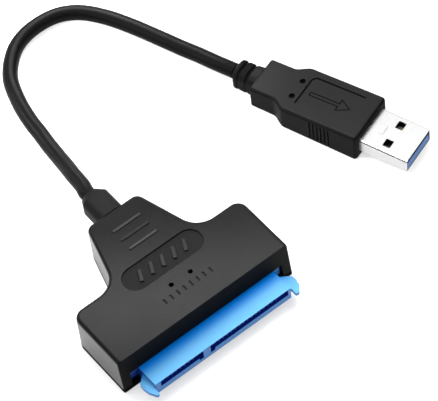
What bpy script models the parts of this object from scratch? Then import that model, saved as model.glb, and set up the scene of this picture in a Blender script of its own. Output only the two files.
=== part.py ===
"""USB to SATA adapter: a T-shaped housing with a drive socket, a short cable and a USB plug.

Metres, +Z up. The drive socket looks along -Y, the cable leaves along +Y and lies in one loop on
the ground, and the origin is at the bottom centre of the housing with its socket and cable boot.
Sizes of the housing are measured from its top front edge, which is y = 0 under the empty named
adapter. The plug's sizes are measured from the front of its overmould, with +X towards its mouth.
"""

from math import cos, pi, radians, sin, tan

import bmesh
import bpy
from mathutils import Matrix, Vector
from mathutils.geometry import intersect_line_line_2d

# General
GAP = 0.0003            # between pieces that touch
SMALL_GAP = 0.0002      # between small pieces set in one another
ARC_STEP = radians(15)  # one segment of a rounded corner

# Housing
HOUSING_WIDTH = 0.0520       # long side, at the roof
HOUSING_HEIGHT = 0.0120
WING_DEPTH = 0.0186          # roof front edge to the wings' back
HOUSING_DEPTH = 0.0368       # roof front edge to the neck's back
NECK_BACK_WIDTH = 0.0158
NECK_TAPER = radians(15.9)
FRONT_LEAN = 0.0011          # foot of the front face, ahead of its top
END_LEAN = 0.00015
FRONT_CORNER = 0.0005
WING_CORNER = 0.0030
NECK_FILLET = 0.0062
NECK_CORNER = 0.0023
ROOF_ROUND = 0.0011          # rounded roof edge at the ends and the back
WALL = 0.0016
COVER_THICK = 0.0012
OVERCUT = 0.0020             # how far a cutter reaches past the face it opens

# Marks on the roof
MARKS_X = 0.0004
PANEL_LENGTH = 0.0236
PANEL_WIDTH = 0.0073
PANEL_Y = 0.0165
PANEL_DEPTH = 0.0004
BAR_COUNT = 5
BAR_PITCH = 0.0034
BAR_LENGTH = 0.0036
BAR_WIDTH = 0.0010
BAR_SLANT = radians(-25)
RIB_LENGTH = 0.0086
RIB_WIDTH = 0.0009
RIB_HEIGHT = 0.00035
RIB_PITCH = 0.00335
RIB_COUNT = 3
RIB_FIRST_Y = 0.0243
LAMP_HOLE = 0.0013
LAMP_PITCH = 0.00586
LAMP_Y = 0.0093
TICK_Y = 0.00645
TICK_LENGTH = 0.0016
TICK_WIDTH = 0.0005
TICK_PITCH = 0.0020
TICK_COUNT = 8
TICK_DEPTH = 0.0002

# Drive socket
SOCKET_INSET = 0.00515       # of its ends, from the housing's ends
SOCKET_HEIGHT = 0.0041
SOCKET_FRONT_Y = -0.0070
SOCKET_BACK_Y = 0.0045
END_WALL = 0.0025            # housing wall beside the socket's shoulder
SHOULDER_Y = 0.0004
SLOT_LIP = 0.0013            # below the slot
SLOT_HEIGHT = 0.0020
SLOT_DEPTH = 0.0075
SIGNAL_END_WALL = 0.00165    # beyond the data slot
POWER_END_WALL = 0.00085     # beyond the power slot
DIVIDER_X = -0.0052          # between the slots
DIVIDER_WIDTH = 0.0022
KEY_WIDTH = 0.0013
KEY_DEPTH = 0.0008
HOOK_DROP = 0.0010           # hook tops below the socket's top
HOOK_THICK = 0.0010
HOOK_SEAT = 0.0010           # of the hook that lies inside the socket's end
HOOK_OUTLINE = (             # outwards from the socket's end, and ahead of its front
    (0.0, -0.0051), (0.0029, -0.0031), (0.00305, -0.0017), (0.00265, 0.0001),
    (0.00125, 0.0022), (0.00035, 0.0020), (0.00035, -0.0002),
)

# Contacts of the drive socket
CONTACT_PITCH = 0.00127
CONTACT_WIDTH = 0.0005
CONTACT_THICK = 0.0003
CONTACT_LIFT = 0.0004        # above the slot's floor
CONTACT_RISE = 0.0007        # of the spring's crown
CONTACT_LEAD = 0.00175       # from the tip back to the crown
CONTACT_SLOPE = 0.0021       # from the crown back to the flat stretch
CONTACT_INSET = 0.0008       # behind the socket's mouth
CONTACT_TAIL = 0.0030        # behind the socket
SIGNAL_COUNT = 7
POWER_COUNT = 15

# Circuit board and what it carries
BOARD_THICK = 0.0010
BOARD_CLEARANCE = 0.0006     # to the housing's walls
BOARD_NECK_SPACE = 0.0050    # behind the board, for the wires
BOARD_CORNER = 0.0005
PILLAR_DIAMETER = 0.0035
PILLAR_INSET = 0.0070        # from the housing's ends
PILLAR_Y = 0.0125
NECK_PILLAR_Y = 0.0255
COMPONENT_Y = 0.0125
BRIDGE_CHIP = (0.0070, 0.0070, 0.0010)
BRIDGE_X = -0.0085
FLASH_CHIP = (0.0050, 0.0040, 0.0015)
FLASH_X = 0.0075
CRYSTAL = (0.0032, 0.0025, 0.0008)
CRYSTAL_Y = 0.0140
REGULATOR = (0.0065, 0.0035, 0.0016)
REGULATOR_Y = 0.0195
INDUCTOR = (0.0040, 0.0040, 0.0020)
INDUCTOR_INSET = 0.0078      # from the board's end
CAPACITOR_DIAMETER = 0.0030
CAPACITOR_HEIGHT = 0.0040
CAPACITOR_INSET = 0.0068     # from the board's other end
NECK_CAPACITOR_X = 0.0040
NECK_CAPACITOR_Y = 0.0235
LAMP_DIAMETER = 0.0024

# Cable boot
BOOT_WIDTH = 0.0076
BOOT_HEIGHT = 0.0074
BOOT_ROUND = 0.0026
BOOT_LENGTH = 0.0096         # outside the housing
BOOT_CHAMFER = 0.0023
BOOT_Z = 0.0075
BOOT_THROAT = 0.0046         # where it passes through the wall
BOOT_FLANGE = 0.0017         # thickness inside the wall
NOTCH_WIDTH = 0.0054
NOTCH_HEIGHT = 0.0006
NOTCH_DEPTH = 0.0005

# Cable, laid in one loop: its route from the boot's end, by hand, as x and y from there and z
CABLE_DIAMETER = 0.0042
CABLE_STEP = 0.0084          # two diameters
CABLE_STUB = 0.0015          # straight at each end
LYING_Z = CABLE_DIAMETER / 2
TAIL_Z = 0.0034
CABLE_ROUTE = [
    (0.0007, 0.0043, 0.0070), (0.0014, 0.0095, 0.0058), (0.0022, 0.0139, 0.0044),
    (0.0029, 0.0188, 0.0032), (0.0035, 0.0236, 0.0024), (0.0041, 0.0280, LYING_Z),
    (0.0046, 0.0331, LYING_Z), (0.0060, 0.0402, LYING_Z), (0.0090, 0.0484, LYING_Z),
    (0.0143, 0.0545, LYING_Z), (0.0197, 0.0574, LYING_Z), (0.0256, 0.0582, LYING_Z),
    (0.0312, 0.0573, LYING_Z), (0.0361, 0.0541, LYING_Z), (0.0402, 0.0484, LYING_Z),
    (0.0434, 0.0415, LYING_Z), (0.0460, 0.0345, LYING_Z), (0.0487, 0.0267, LYING_Z),
    (0.0506, 0.0210, 0.0025), (0.0522, 0.0151, 0.0031), (0.05404, 0.00954, TAIL_Z),
]

# USB plug
PLUG_HEADING = radians(-70.9)   # of its mouth, from +X
GRIP_WIDTH = 0.0156
GRIP_HEIGHT = 0.0090
GRIP_LENGTH = 0.0216            # full-width stretch
GRIP_REAR_HEIGHT = 0.0073
GRIP_ROUND = 0.0009
REAR_WIDTH = 0.0112
REAR_START = 0.0262
REAR_END = 0.0325
TAIL_DIAMETER = 0.0067
TAIL_LENGTH = 0.0081
TAIL_CHAMFER = 0.0013
RING_GROOVES = (0.0028, 0.0053)  # behind the rear block
RING_WIDTH = 0.0007
RING_DEPTH = 0.0006
SIDE_GROOVES = 6
SIDE_GROOVE_PITCH = 0.0011
SIDE_GROOVE_FIRST = 0.0081
SIDE_GROOVE_WIDTH = 0.0005
SIDE_GROOVE_DEPTH = 0.0003
SIDE_GROOVE_FOOT = 0.0010
SIDE_GROOVE_TOP = 0.0074
LINE_WIDTH = 0.0005
LINE_DEPTH = 0.0003
LINE_BACK = 0.0199
LINE_FRONT = 0.0045
LINE_SIDE = 0.0052
LINE_OTHER_SIDE = 0.0044
LINE_CORNER = 0.0015
ARROW_BACK = 0.0180
ARROW_HEAD = 0.0095
ARROW_TIP = 0.0062
ARROW_SHAFT = 0.0010
ARROW_WIDTH = 0.0036
DIMPLE_DIAMETER = 0.0014
DIMPLE_X = 0.0218
DIMPLE_SPACING = 0.0054
DIMPLE_DEPTH = 0.0004
SHELL_WIDTH = 0.0120
SHELL_HEIGHT = 0.0045
SHELL_LENGTH = 0.0137           # outside the overmould
SHELL_SEATED = 0.0060           # inside the overmould
SHELL_WALL = 0.0003
SHELL_ROUND = 0.0006
SHELL_Z = 0.0044
WINDOW_NEAR = 0.00575
WINDOW_LENGTH = 0.00215
WINDOW_WIDTH = 0.00245
WINDOW_SPACING = 0.0064
TONGUE_HEIGHT = 0.0019
TONGUE_INSET = 0.0004           # behind the mouth
BLOCK_END = 0.0015              # where the full-height back of the insert ends
PLUG_CONTACT_WIDTH = 0.0010
PLUG_CONTACT_THICK = 0.0002
PLUG_CONTACT_PLACES = (-0.0035, -0.0010, 0.0010, 0.0035)
PLUG_CONTACT_START = 0.0052
PLUG_CONTACT_END = 0.0125
REAR_CONTACT_PITCH = 0.0020
REAR_CONTACT_COUNT = 5
REAR_CONTACT_WIDTH = 0.0007
REAR_CONTACT_START = 0.0022
REAR_CONTACT_END = 0.0042

# Wires from the cable to the board
WIRE_DIAMETER = 0.0007
WIRE_COUNT = 4
WIRE_START_PITCH = 0.0012
WIRE_END_PITCH = 0.0020
WIRE_LANDING = 0.0020           # ahead of the board's back edge

# Places worked out from the sizes above
CAVITY_TOP = HOUSING_HEIGHT - WALL
SHOULDER_WIDTH = HOUSING_WIDTH - 2 * (END_WALL + GAP)
SOCKET_WIDTH = HOUSING_WIDTH - 2 * SOCKET_INSET
SIGNAL_SLOT = (SIGNAL_END_WALL - SOCKET_WIDTH / 2, DIVIDER_X - DIVIDER_WIDTH / 2)
POWER_SLOT = (DIVIDER_X + DIVIDER_WIDTH / 2, SOCKET_WIDTH / 2 - POWER_END_WALL)
BOARD_END = HOUSING_WIDTH / 2 - WALL - BOARD_CLEARANCE
PILLAR_X = HOUSING_WIDTH / 2 - PILLAR_INSET
PILLAR_PLACES = ((-PILLAR_X, PILLAR_Y), (PILLAR_X, PILLAR_Y), (0.0, NECK_PILLAR_Y))
BRIDGE_PLACE = (BRIDGE_X, COMPONENT_Y)
FLASH_PLACE = (FLASH_X, COMPONENT_Y)
CRYSTAL_PLACE = (0.0, CRYSTAL_Y)
REGULATOR_PLACE = (0.0, REGULATOR_Y)
INDUCTOR_PLACE = (BOARD_END - INDUCTOR_INSET, COMPONENT_Y)
CAPACITOR_PLACES = (
    (CAPACITOR_INSET - BOARD_END, COMPONENT_Y), (NECK_CAPACITOR_X, NECK_CAPACITOR_Y),
)
SHELL_FOOT = COVER_THICK + GAP
SOCKET_FOOT = COVER_THICK + GAP
SOCKET_TOP = SOCKET_FOOT + SOCKET_HEIGHT
SLOT_FLOOR = SOCKET_FOOT + SLOT_LIP
CONTACT_Z = SLOT_FLOOR + CONTACT_LIFT + CONTACT_THICK / 2
BOARD_FOOT = CONTACT_Z + CONTACT_THICK / 2 + GAP
BOARD_TOP = BOARD_FOOT + BOARD_THICK
BOARD_FRONT_Y = SOCKET_BACK_Y + GAP
BOARD_BACK_Y = HOUSING_DEPTH - WALL - BOARD_NECK_SPACE
BOOT_FACE_Y = HOUSING_DEPTH + GAP
BOOT_END_Y = HOUSING_DEPTH + BOOT_LENGTH
WALL_INNER_Y = HOUSING_DEPTH - WALL
BOOT_INNER_Y = WALL_INNER_Y - GAP - BOOT_FLANGE
HOOK_REACH = max(ahead for _, ahead in HOOK_OUTLINE)
FRONT_Y = SOCKET_FRONT_Y - HOOK_REACH
ORIGIN_Y = (FRONT_Y + BOOT_END_Y) / 2
TAIL_END = REAR_END + TAIL_LENGTH


def clear_scene():
    for old in list(bpy.data.objects):
        bpy.data.objects.remove(old, do_unlink=True)


def make_material(name, colour, roughness, metallic=0.0):
    made = bpy.data.materials.new(name)
    made.use_nodes = True
    shader = made.node_tree.nodes["Principled BSDF"]
    shader.inputs["Base Color"].default_value = (*colour, 1.0)
    shader.inputs["Roughness"].default_value = roughness
    shader.inputs["Metallic"].default_value = metallic
    made.diffuse_color = (*colour, 1.0)
    return made


def add_object(name, mesh, made, parent, smooth=True):
    """Put a mesh in the scene as one named piece."""
    placed = bpy.data.objects.new(name, mesh)
    bpy.context.collection.objects.link(placed)
    placed.parent = parent
    if made is not None:
        mesh.materials.append(made)
    if smooth:
        mesh.shade_smooth()
        mesh.set_sharp_from_angle(angle=radians(35))
    return placed


def finish_mesh(name, shape):
    """Turn a bmesh into a mesh with its faces pointing out."""
    bmesh.ops.recalc_face_normals(shape, faces=shape.faces)
    mesh = bpy.data.meshes.new(name)
    shape.to_mesh(mesh)
    shape.free()
    return mesh


def loft(name, rings):
    """One closed mesh through rings of equal point counts, with flat ends."""
    shape = bmesh.new()
    loops = [[shape.verts.new(point) for point in ring] for ring in rings]
    count = len(loops[0])
    for lower, upper in zip(loops, loops[1:]):
        for index in range(count):
            following = (index + 1) % count
            shape.faces.new((lower[index], lower[following], upper[following], upper[index]))
    shape.faces.new(list(reversed(loops[0])))
    shape.faces.new(loops[-1])
    return finish_mesh(name, shape)


def box_mesh(name, low, high):
    """A box between two corners."""
    ring = [(low[0], low[1]), (high[0], low[1]), (high[0], high[1]), (low[0], high[1])]
    return prism(name, ring, low[2], high[2])


def prism(name, outline, low, high):
    """An outline in X and Y carried from one height to another."""
    rings = [[(x, y, level) for x, y in outline] for level in (low, high)]
    return loft(name, rings)


def joined(name, meshes):
    """Separate closed bodies in one mesh, for use as a cutter."""
    shape = bmesh.new()
    for mesh in meshes:
        shape.from_mesh(mesh)
        bpy.data.meshes.remove(mesh)
    mesh = bpy.data.meshes.new(name)
    shape.to_mesh(mesh)
    shape.free()
    return mesh


def combine(target, mesh, operation):
    """Cut, or add, a mesh with a Boolean whose tool stays in the scene as a wire guide."""
    tool = add_object(mesh.name, mesh, None, target.parent, smooth=False)
    tool.hide_render = True
    tool.display_type = "WIRE"
    step = target.modifiers.new(mesh.name, "BOOLEAN")
    step.operation = operation
    step.solver = "EXACT"
    step.object = tool


def rounded_outline(corners):
    """Round each (x, y, radius) corner of a polygon that runs anticlockwise."""
    points = []
    for index, (x, y, radius) in enumerate(corners):
        here = Vector((x, y))
        before = Vector(corners[index - 1][:2])
        after = Vector(corners[(index + 1) % len(corners)][:2])
        arriving = (here - before).normalized()
        leaving = (after - here).normalized()
        turn = arriving.angle_signed(leaving) * -1
        if radius <= 0:
            points.append((x, y))
            continue
        reach = radius * tan(abs(turn) / 2)
        side = 1 if turn > 0 else -1
        centre = here - arriving * reach + Vector((-arriving.y, arriving.x)) * radius * side
        start = (here - arriving * reach) - centre
        steps = max(2, round(abs(turn) / ARC_STEP))
        for part in range(steps + 1):
            spoke = Matrix.Rotation(turn * part / steps, 2) @ start
            points.append(tuple(centre + spoke))
    return points


def inset_corners(corners, insets):
    """Move each edge of an anticlockwise polygon inwards by its own distance.

    Edge i runs from corner i to the next one. Rounded corners keep their centres.
    """
    count = len(corners)
    lines = []
    for index in range(count):
        start = Vector(corners[index][:2])
        end = Vector(corners[(index + 1) % count][:2])
        along = (end - start).normalized()
        inwards = Vector((-along.y, along.x)) * insets[index]
        lines.append((start + inwards, end + inwards, along))
    moved = []
    for index, (x, y, radius) in enumerate(corners):
        first = lines[index - 1]
        second = lines[index]
        reach = HOUSING_WIDTH * 10
        crossing = intersect_line_line_2d(
            first[0] - first[2] * reach, first[1] + first[2] * reach,
            second[0] - second[2] * reach, second[1] + second[2] * reach)
        convex = first[2].cross(second[2]) > 0
        change = min(insets[index - 1], insets[index])
        if radius <= 0:
            fresh = 0
        elif convex:
            fresh = max(radius - change, SMALL_GAP)
        else:
            fresh = radius + change
        moved.append((crossing.x, crossing.y, fresh))
    return moved


def housing_corners(level):
    """The housing's T at a height: front edge first, then round the back, anticlockwise."""
    down = 1 - level / HOUSING_HEIGHT
    half = HOUSING_WIDTH / 2 + END_LEAN * down
    front = -FRONT_LEAN * down
    back_half = NECK_BACK_WIDTH / 2
    root_half = back_half + tan(NECK_TAPER) * (HOUSING_DEPTH - WING_DEPTH)
    right = [
        (half, front, FRONT_CORNER), (half, WING_DEPTH, WING_CORNER),
        (root_half, WING_DEPTH, NECK_FILLET), (back_half, HOUSING_DEPTH, NECK_CORNER),
    ]
    left = [(-x, y, radius) for x, y, radius in reversed(right)]
    return [left[-1]] + right + left[:-1]


def housing_ring(level, inset=0.0, front_inset=None):
    """The housing's outline at a height as a ring of 3D points."""
    corners = housing_corners(level)
    insets = [inset] * len(corners)
    insets[0] = inset if front_inset is None else front_inset
    outline = rounded_outline(inset_corners(corners, insets))
    return [(x, y, level) for x, y in outline]


def housing_loft(name, levels):
    return loft(name, [housing_ring(*level) for level in levels])


def make_housing_top(made, parent):
    """Deep upper shell, open below, with a rounded roof edge and a slot for the socket."""
    arc = 4
    levels = [(SHELL_FOOT,)]
    for part in range(arc + 1):
        angle = pi / 2 * part / arc
        level = HOUSING_HEIGHT - ROOF_ROUND * (1 - sin(angle))
        levels.append((level, ROOF_ROUND * (1 - cos(angle)), 0.0))
    shell = add_object("housing_top", housing_loft("housing_top", levels), made, parent)
    hollow = housing_loft("housing_hollow", [(0.0, WALL), (CAVITY_TOP, WALL)])
    combine(shell, hollow, "DIFFERENCE")

    front_low = (-SHOULDER_WIDTH / 2 - GAP, -FRONT_LEAN - OVERCUT, 0.0)
    front_high = (SHOULDER_WIDTH / 2 + GAP, WALL + OVERCUT, SOCKET_TOP + GAP)
    throat = BOOT_THROAT / 2 + GAP
    throat_low = (-throat, WALL_INNER_Y - OVERCUT, BOOT_Z - throat)
    throat_high = (throat, HOUSING_DEPTH + OVERCUT, BOOT_Z + throat)
    notch_low = (-NOTCH_WIDTH / 2, HOUSING_DEPTH - NOTCH_DEPTH, BOOT_Z + BOOT_HEIGHT / 2)
    notch_high = (NOTCH_WIDTH / 2, HOUSING_DEPTH + OVERCUT, notch_low[2] + NOTCH_HEIGHT)
    openings = joined("housing_openings", [
        box_mesh("front_slot", front_low, front_high),
        box_mesh("boot_throat", throat_low, throat_high),
        box_mesh("boot_notch", notch_low, notch_high),
    ])
    combine(shell, openings, "DIFFERENCE")

    end = PANEL_WIDTH / 2
    half = PANEL_LENGTH / 2
    panel = rounded_outline([
        (MARKS_X - half, PANEL_Y - end, end), (MARKS_X + half, PANEL_Y - end, end),
        (MARKS_X + half, PANEL_Y + end, end), (MARKS_X - half, PANEL_Y + end, end),
    ])
    above = HOUSING_HEIGHT + OVERCUT
    marks = [prism("panel", panel, HOUSING_HEIGHT - PANEL_DEPTH, above)]
    for place in lamp_places():
        hole = disc_outline(place, LAMP_Y, LAMP_HOLE / 2)
        marks.append(prism("lamp_hole", hole, CAVITY_TOP - OVERCUT, above))
    for index in range(TICK_COUNT):
        x = MARKS_X + (index - (TICK_COUNT - 1) / 2) * TICK_PITCH
        low = (x - TICK_WIDTH / 2, TICK_Y - TICK_LENGTH / 2, HOUSING_HEIGHT - TICK_DEPTH)
        high = (x + TICK_WIDTH / 2, TICK_Y + TICK_LENGTH / 2, above)
        marks.append(box_mesh("tick", low, high))
    combine(shell, joined("roof_marks", marks), "DIFFERENCE")

    raised = []
    for index in range(BAR_COUNT):
        x = MARKS_X + (index - (BAR_COUNT - 1) / 2) * BAR_PITCH
        bar = slanted_bar(x, PANEL_Y, BAR_WIDTH, BAR_LENGTH, BAR_SLANT)
        raised.append(prism("bar", bar, HOUSING_HEIGHT - WALL / 2, HOUSING_HEIGHT))
    for index in range(RIB_COUNT):
        y = RIB_FIRST_Y + index * RIB_PITCH
        rib = slanted_bar(MARKS_X, y, RIB_LENGTH, RIB_WIDTH, 0.0)
        raised.append(prism("rib", rib, HOUSING_HEIGHT - WALL / 2, HOUSING_HEIGHT + RIB_HEIGHT))
    combine(shell, joined("roof_raised", raised), "UNION")


def slanted_bar(x, y, width, length, slant):
    """A small rectangle's outline, leaning along X by the slant."""
    lean = tan(slant) * length / 2
    return [
        (x - width / 2 + lean, y - length / 2), (x + width / 2 + lean, y - length / 2),
        (x + width / 2 - lean, y + length / 2), (x - width / 2 - lean, y + length / 2),
    ]


def disc_outline(x, y, radius, count=16):
    angles = [2 * pi * index / count for index in range(count)]
    return [(x + radius * cos(angle), y + radius * sin(angle)) for angle in angles]


def lamp_places():
    return (MARKS_X - LAMP_PITCH / 2, MARKS_X + LAMP_PITCH / 2)


def make_housing_base(made, parent):
    """Flat cover under the housing, with pillars that carry the circuit board."""
    base = housing_loft("housing_base", [(0.0,), (COVER_THICK,)])
    cover = add_object("housing_base", base, made, parent)
    pillars = []
    for x, y in PILLAR_PLACES:
        outline = disc_outline(x, y, PILLAR_DIAMETER / 2)
        pillars.append(prism("pillar", outline, COVER_THICK / 2, BOARD_FOOT - GAP))
    combine(cover, joined("pillars", pillars), "UNION")


def hook_outline(side):
    """Plan of one guide hook, with a stretch that lies inside the socket's end."""
    end = SOCKET_WIDTH / 2
    points = [(end + out, SOCKET_FRONT_Y - ahead) for out, ahead in HOOK_OUTLINE]
    points += [(end - HOOK_SEAT, points[-1][1]), (end - HOOK_SEAT, points[0][1])]
    return [(x * side, y) for x, y in points]


def contact_row(slot, count):
    """Contact centres along a slot, evenly about its middle."""
    middle = (slot[0] + slot[1]) / 2
    return [middle + (index - (count - 1) / 2) * CONTACT_PITCH for index in range(count)]


def make_socket(made, parent):
    """Blue moulding: a wide nose with two slots, a shoulder in the housing and two hooks."""
    half = SOCKET_WIDTH / 2
    wide = SHOULDER_WIDTH / 2
    outline = [
        (-half, SOCKET_FRONT_Y), (half, SOCKET_FRONT_Y), (half, SHOULDER_Y), (wide, SHOULDER_Y),
        (wide, SOCKET_BACK_Y), (-wide, SOCKET_BACK_Y), (-wide, SHOULDER_Y), (-half, SHOULDER_Y),
    ]
    body = prism("socket_insulator", outline, SOCKET_FOOT, SOCKET_TOP)
    socket = add_object("socket_insulator", body, made, parent)
    hook_top = SOCKET_TOP - HOOK_DROP
    hooks = [prism("hook", hook_outline(side), hook_top - HOOK_THICK, hook_top) for side in (-1, 1)]
    combine(socket, joined("socket_hooks", hooks), "UNION")

    slot_back = SOCKET_FRONT_Y + SLOT_DEPTH
    ahead = SOCKET_FRONT_Y - OVERCUT
    behind = SOCKET_BACK_Y + OVERCUT
    slit_low = CONTACT_Z - CONTACT_THICK / 2 - SMALL_GAP
    slit_high = CONTACT_Z + CONTACT_THICK / 2 + SMALL_GAP
    holes = []
    for slot, count, key_x in (
        (SIGNAL_SLOT, SIGNAL_COUNT, SIGNAL_SLOT[1] - KEY_WIDTH),
        (POWER_SLOT, POWER_COUNT, POWER_SLOT[0]),
    ):
        slot_low = (slot[0], ahead, SLOT_FLOOR)
        slot_high = (slot[1], slot_back, SLOT_FLOOR + SLOT_HEIGHT)
        holes.append(box_mesh("slot", slot_low, slot_high))
        key_low = (key_x, ahead - GAP, SLOT_FLOOR - KEY_DEPTH)
        key_high = (key_x + KEY_WIDTH, slot_back - GAP, SLOT_FLOOR + SLOT_HEIGHT / 2)
        holes.append(box_mesh("key", key_low, key_high))
        row = contact_row(slot, count)
        side = CONTACT_WIDTH / 2 + SMALL_GAP
        low = (row[0] - side, slot_back - GAP * 2, slit_low)
        high = (row[-1] + side, behind, slit_high)
        holes.append(box_mesh("slit", low, high))
    for hole in holes:
        combine(socket, hole, "DIFFERENCE")


def strip_mesh(name, path, width, thickness):
    """A flat strip across X that follows (y, z) points."""
    rings = []
    for y, z in path:
        low = z - thickness / 2
        high = z + thickness / 2
        half = width / 2
        rings.append([(-half, y, low), (half, y, low), (half, y, high), (-half, y, high)])
    return loft(name, rings)


def make_contacts(made, parent):
    """Spring contacts in the slots, their tails under the circuit board."""
    mouth = SOCKET_FRONT_Y + CONTACT_INSET
    crown = mouth + CONTACT_LEAD
    path = [
        (SOCKET_BACK_Y + CONTACT_TAIL, CONTACT_Z), (SOCKET_FRONT_Y + SLOT_DEPTH, CONTACT_Z),
        (crown + CONTACT_SLOPE, CONTACT_Z), (crown, CONTACT_Z + CONTACT_RISE), (mouth, CONTACT_Z),
    ]
    mesh = strip_mesh("drive_contact", path, CONTACT_WIDTH, CONTACT_THICK)
    mesh.materials.append(made)
    rows = (("signal", SIGNAL_SLOT, SIGNAL_COUNT), ("power", POWER_SLOT, POWER_COUNT))
    for label, slot, count in rows:
        for index, x in enumerate(contact_row(slot, count)):
            contact = add_object(f"{label}_contact_{index + 1}", mesh, None, parent, smooth=False)
            contact.location.x = x


def make_board(made, parent):
    """T-shaped circuit board inside the housing, behind the socket."""
    corners = housing_corners(0.0)
    around = WALL + BOARD_CLEARANCE
    insets = [around] * len(corners)
    insets[0] = BOARD_FRONT_Y - corners[0][1]
    insets[4] = HOUSING_DEPTH - BOARD_BACK_Y
    moved = inset_corners(corners, insets)
    outline = rounded_outline([(x, y, max(radius, BOARD_CORNER)) for x, y, radius in moved])
    mesh = prism("circuit_board", outline, BOARD_FOOT, BOARD_TOP)
    add_object("circuit_board", mesh, made, parent)


def make_chip(name, size, place, made, parent):
    """A flat rectangular component on the board."""
    foot = BOARD_TOP + GAP
    low = (place[0] - size[0] / 2, place[1] - size[1] / 2, foot)
    high = (place[0] + size[0] / 2, place[1] + size[1] / 2, foot + size[2])
    add_object(name, box_mesh(name, low, high), made, parent, smooth=False)


def make_can(name, diameter, place, top, made, parent):
    """An upright round component on the board."""
    outline = disc_outline(place[0], place[1], diameter / 2)
    mesh = prism(name, outline, BOARD_TOP + GAP, top)
    add_object(name, mesh, made, parent)


def make_components(chip, metal, ferrite, lamp, parent):
    make_chip("bridge_chip", BRIDGE_CHIP, BRIDGE_PLACE, chip, parent)
    make_chip("flash_chip", FLASH_CHIP, FLASH_PLACE, chip, parent)
    make_chip("crystal", CRYSTAL, CRYSTAL_PLACE, metal, parent)
    make_chip("voltage_regulator", REGULATOR, REGULATOR_PLACE, chip, parent)
    make_chip("inductor", INDUCTOR, INDUCTOR_PLACE, ferrite, parent)
    can_top = BOARD_TOP + GAP + CAPACITOR_HEIGHT
    for index, place in enumerate(CAPACITOR_PLACES):
        make_can(f"capacitor_{index + 1}", CAPACITOR_DIAMETER, place, can_top, metal, parent)
    for index, x in enumerate(lamp_places()):
        place = (x, LAMP_Y)
        make_can(f"status_lamp_{index + 1}", LAMP_DIAMETER, place, CAVITY_TOP - GAP, lamp, parent)


def rounded_section(half_width, low, high, radius):
    """Points of a rounded rectangle, always as many, so sections can be lofted together."""
    half_height = (high - low) / 2
    radius = min(radius, half_width * 0.999, half_height * 0.999)
    middle = (low + high) / 2
    across = half_width - radius
    upright = half_height - radius
    points = []
    steps = 6
    for corner in range(4):
        side = 1 if corner in (0, 3) else -1
        lift = 1 if corner in (0, 1) else -1
        for part in range(steps + 1):
            angle = pi / 2 * (corner + part / steps)
            w = side * across + radius * cos(angle)
            z = middle + lift * upright + radius * sin(angle)
            points.append((w, z))
    return points


def make_boot(made, parent):
    """Cable boot: a flange inside the wall, a throat through it and a body outside."""
    wide = BOOT_WIDTH / 2
    tall = BOOT_HEIGHT / 2
    throat = BOOT_THROAT / 2
    flange = CAVITY_TOP - GAP - BOOT_Z
    end = CABLE_DIAMETER / 2
    sections = [
        (BOOT_INNER_Y, flange, flange, GAP), (WALL_INNER_Y - GAP, flange, flange, GAP),
        (WALL_INNER_Y - GAP, throat, throat, GAP), (BOOT_FACE_Y, throat, throat, GAP),
        (BOOT_FACE_Y, wide, tall, BOOT_ROUND),
        (BOOT_END_Y - BOOT_CHAMFER, wide, tall, BOOT_ROUND), (BOOT_END_Y, end, end, end),
    ]
    rings = []
    for y, half_width, half_height, radius in sections:
        section = rounded_section(half_width, BOOT_Z - half_height, BOOT_Z + half_height, radius)
        rings.append([(-x, y, z) for x, z in section])
    add_object("cable_boot", loft("cable_boot", rings), made, parent)


def smooth_points(route, step):
    """Points at an even spacing along a smooth curve through the route's own points."""
    ends = [route[0] * 2 - route[1]] + route + [route[-1] * 2 - route[-2]]
    fine = []
    for a, b, c, d in zip(ends, ends[1:], ends[2:], ends[3:]):
        for part in range(20):
            t = part / 20
            fine.append(0.5 * (2 * b + (c - a) * t + (2 * a - 5 * b + 4 * c - d) * t ** 2
                               + (3 * b - a - 3 * c + d) * t ** 3))
    fine.append(route[-1])
    lengths = [0.0]
    for before, after in zip(fine, fine[1:]):
        lengths.append(lengths[-1] + (after - before).length)
    count = round(lengths[-1] / step)
    points = []
    cursor = 0
    for index in range(count + 1):
        target = lengths[-1] * index / count
        while lengths[cursor + 1] < target and cursor < len(fine) - 2:
            cursor += 1
        share = (target - lengths[cursor]) / (lengths[cursor + 1] - lengths[cursor])
        points.append(fine[cursor].lerp(fine[cursor + 1], share))
    return points


def make_tube(name, points, diameter, made, parent):
    """A round cord through points, with closed ends."""
    curve = bpy.data.curves.new(name, "CURVE")
    curve.dimensions = "3D"
    curve.bevel_depth = diameter / 2
    curve.bevel_resolution = 2
    curve.use_fill_caps = True
    spline = curve.splines.new("POLY")
    spline.points.add(len(points) - 1)
    for slot, point in zip(spline.points, points):
        slot.co = (*point, 1.0)
    curve.materials.append(made)
    cord = bpy.data.objects.new(name, curve)
    bpy.context.collection.objects.link(cord)
    cord.parent = parent
    return cord


def cable_points(heading):
    """The cable under the adapter's empty, square to the boot's end and to the plug's tail."""
    start = Vector((0.0, BOOT_END_Y + GAP, BOOT_Z))
    shift = Vector((0.0, BOOT_END_Y, 0.0))
    route = [Vector(point) + shift for point in CABLE_ROUTE]
    end = route[-1]
    first = start + Vector((0.0, CABLE_STUB, 0.0))
    route = [first] + route[:-1] + [end - heading * CABLE_STUB]
    return [start] + smooth_points(route, CABLE_STEP) + [end]


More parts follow.
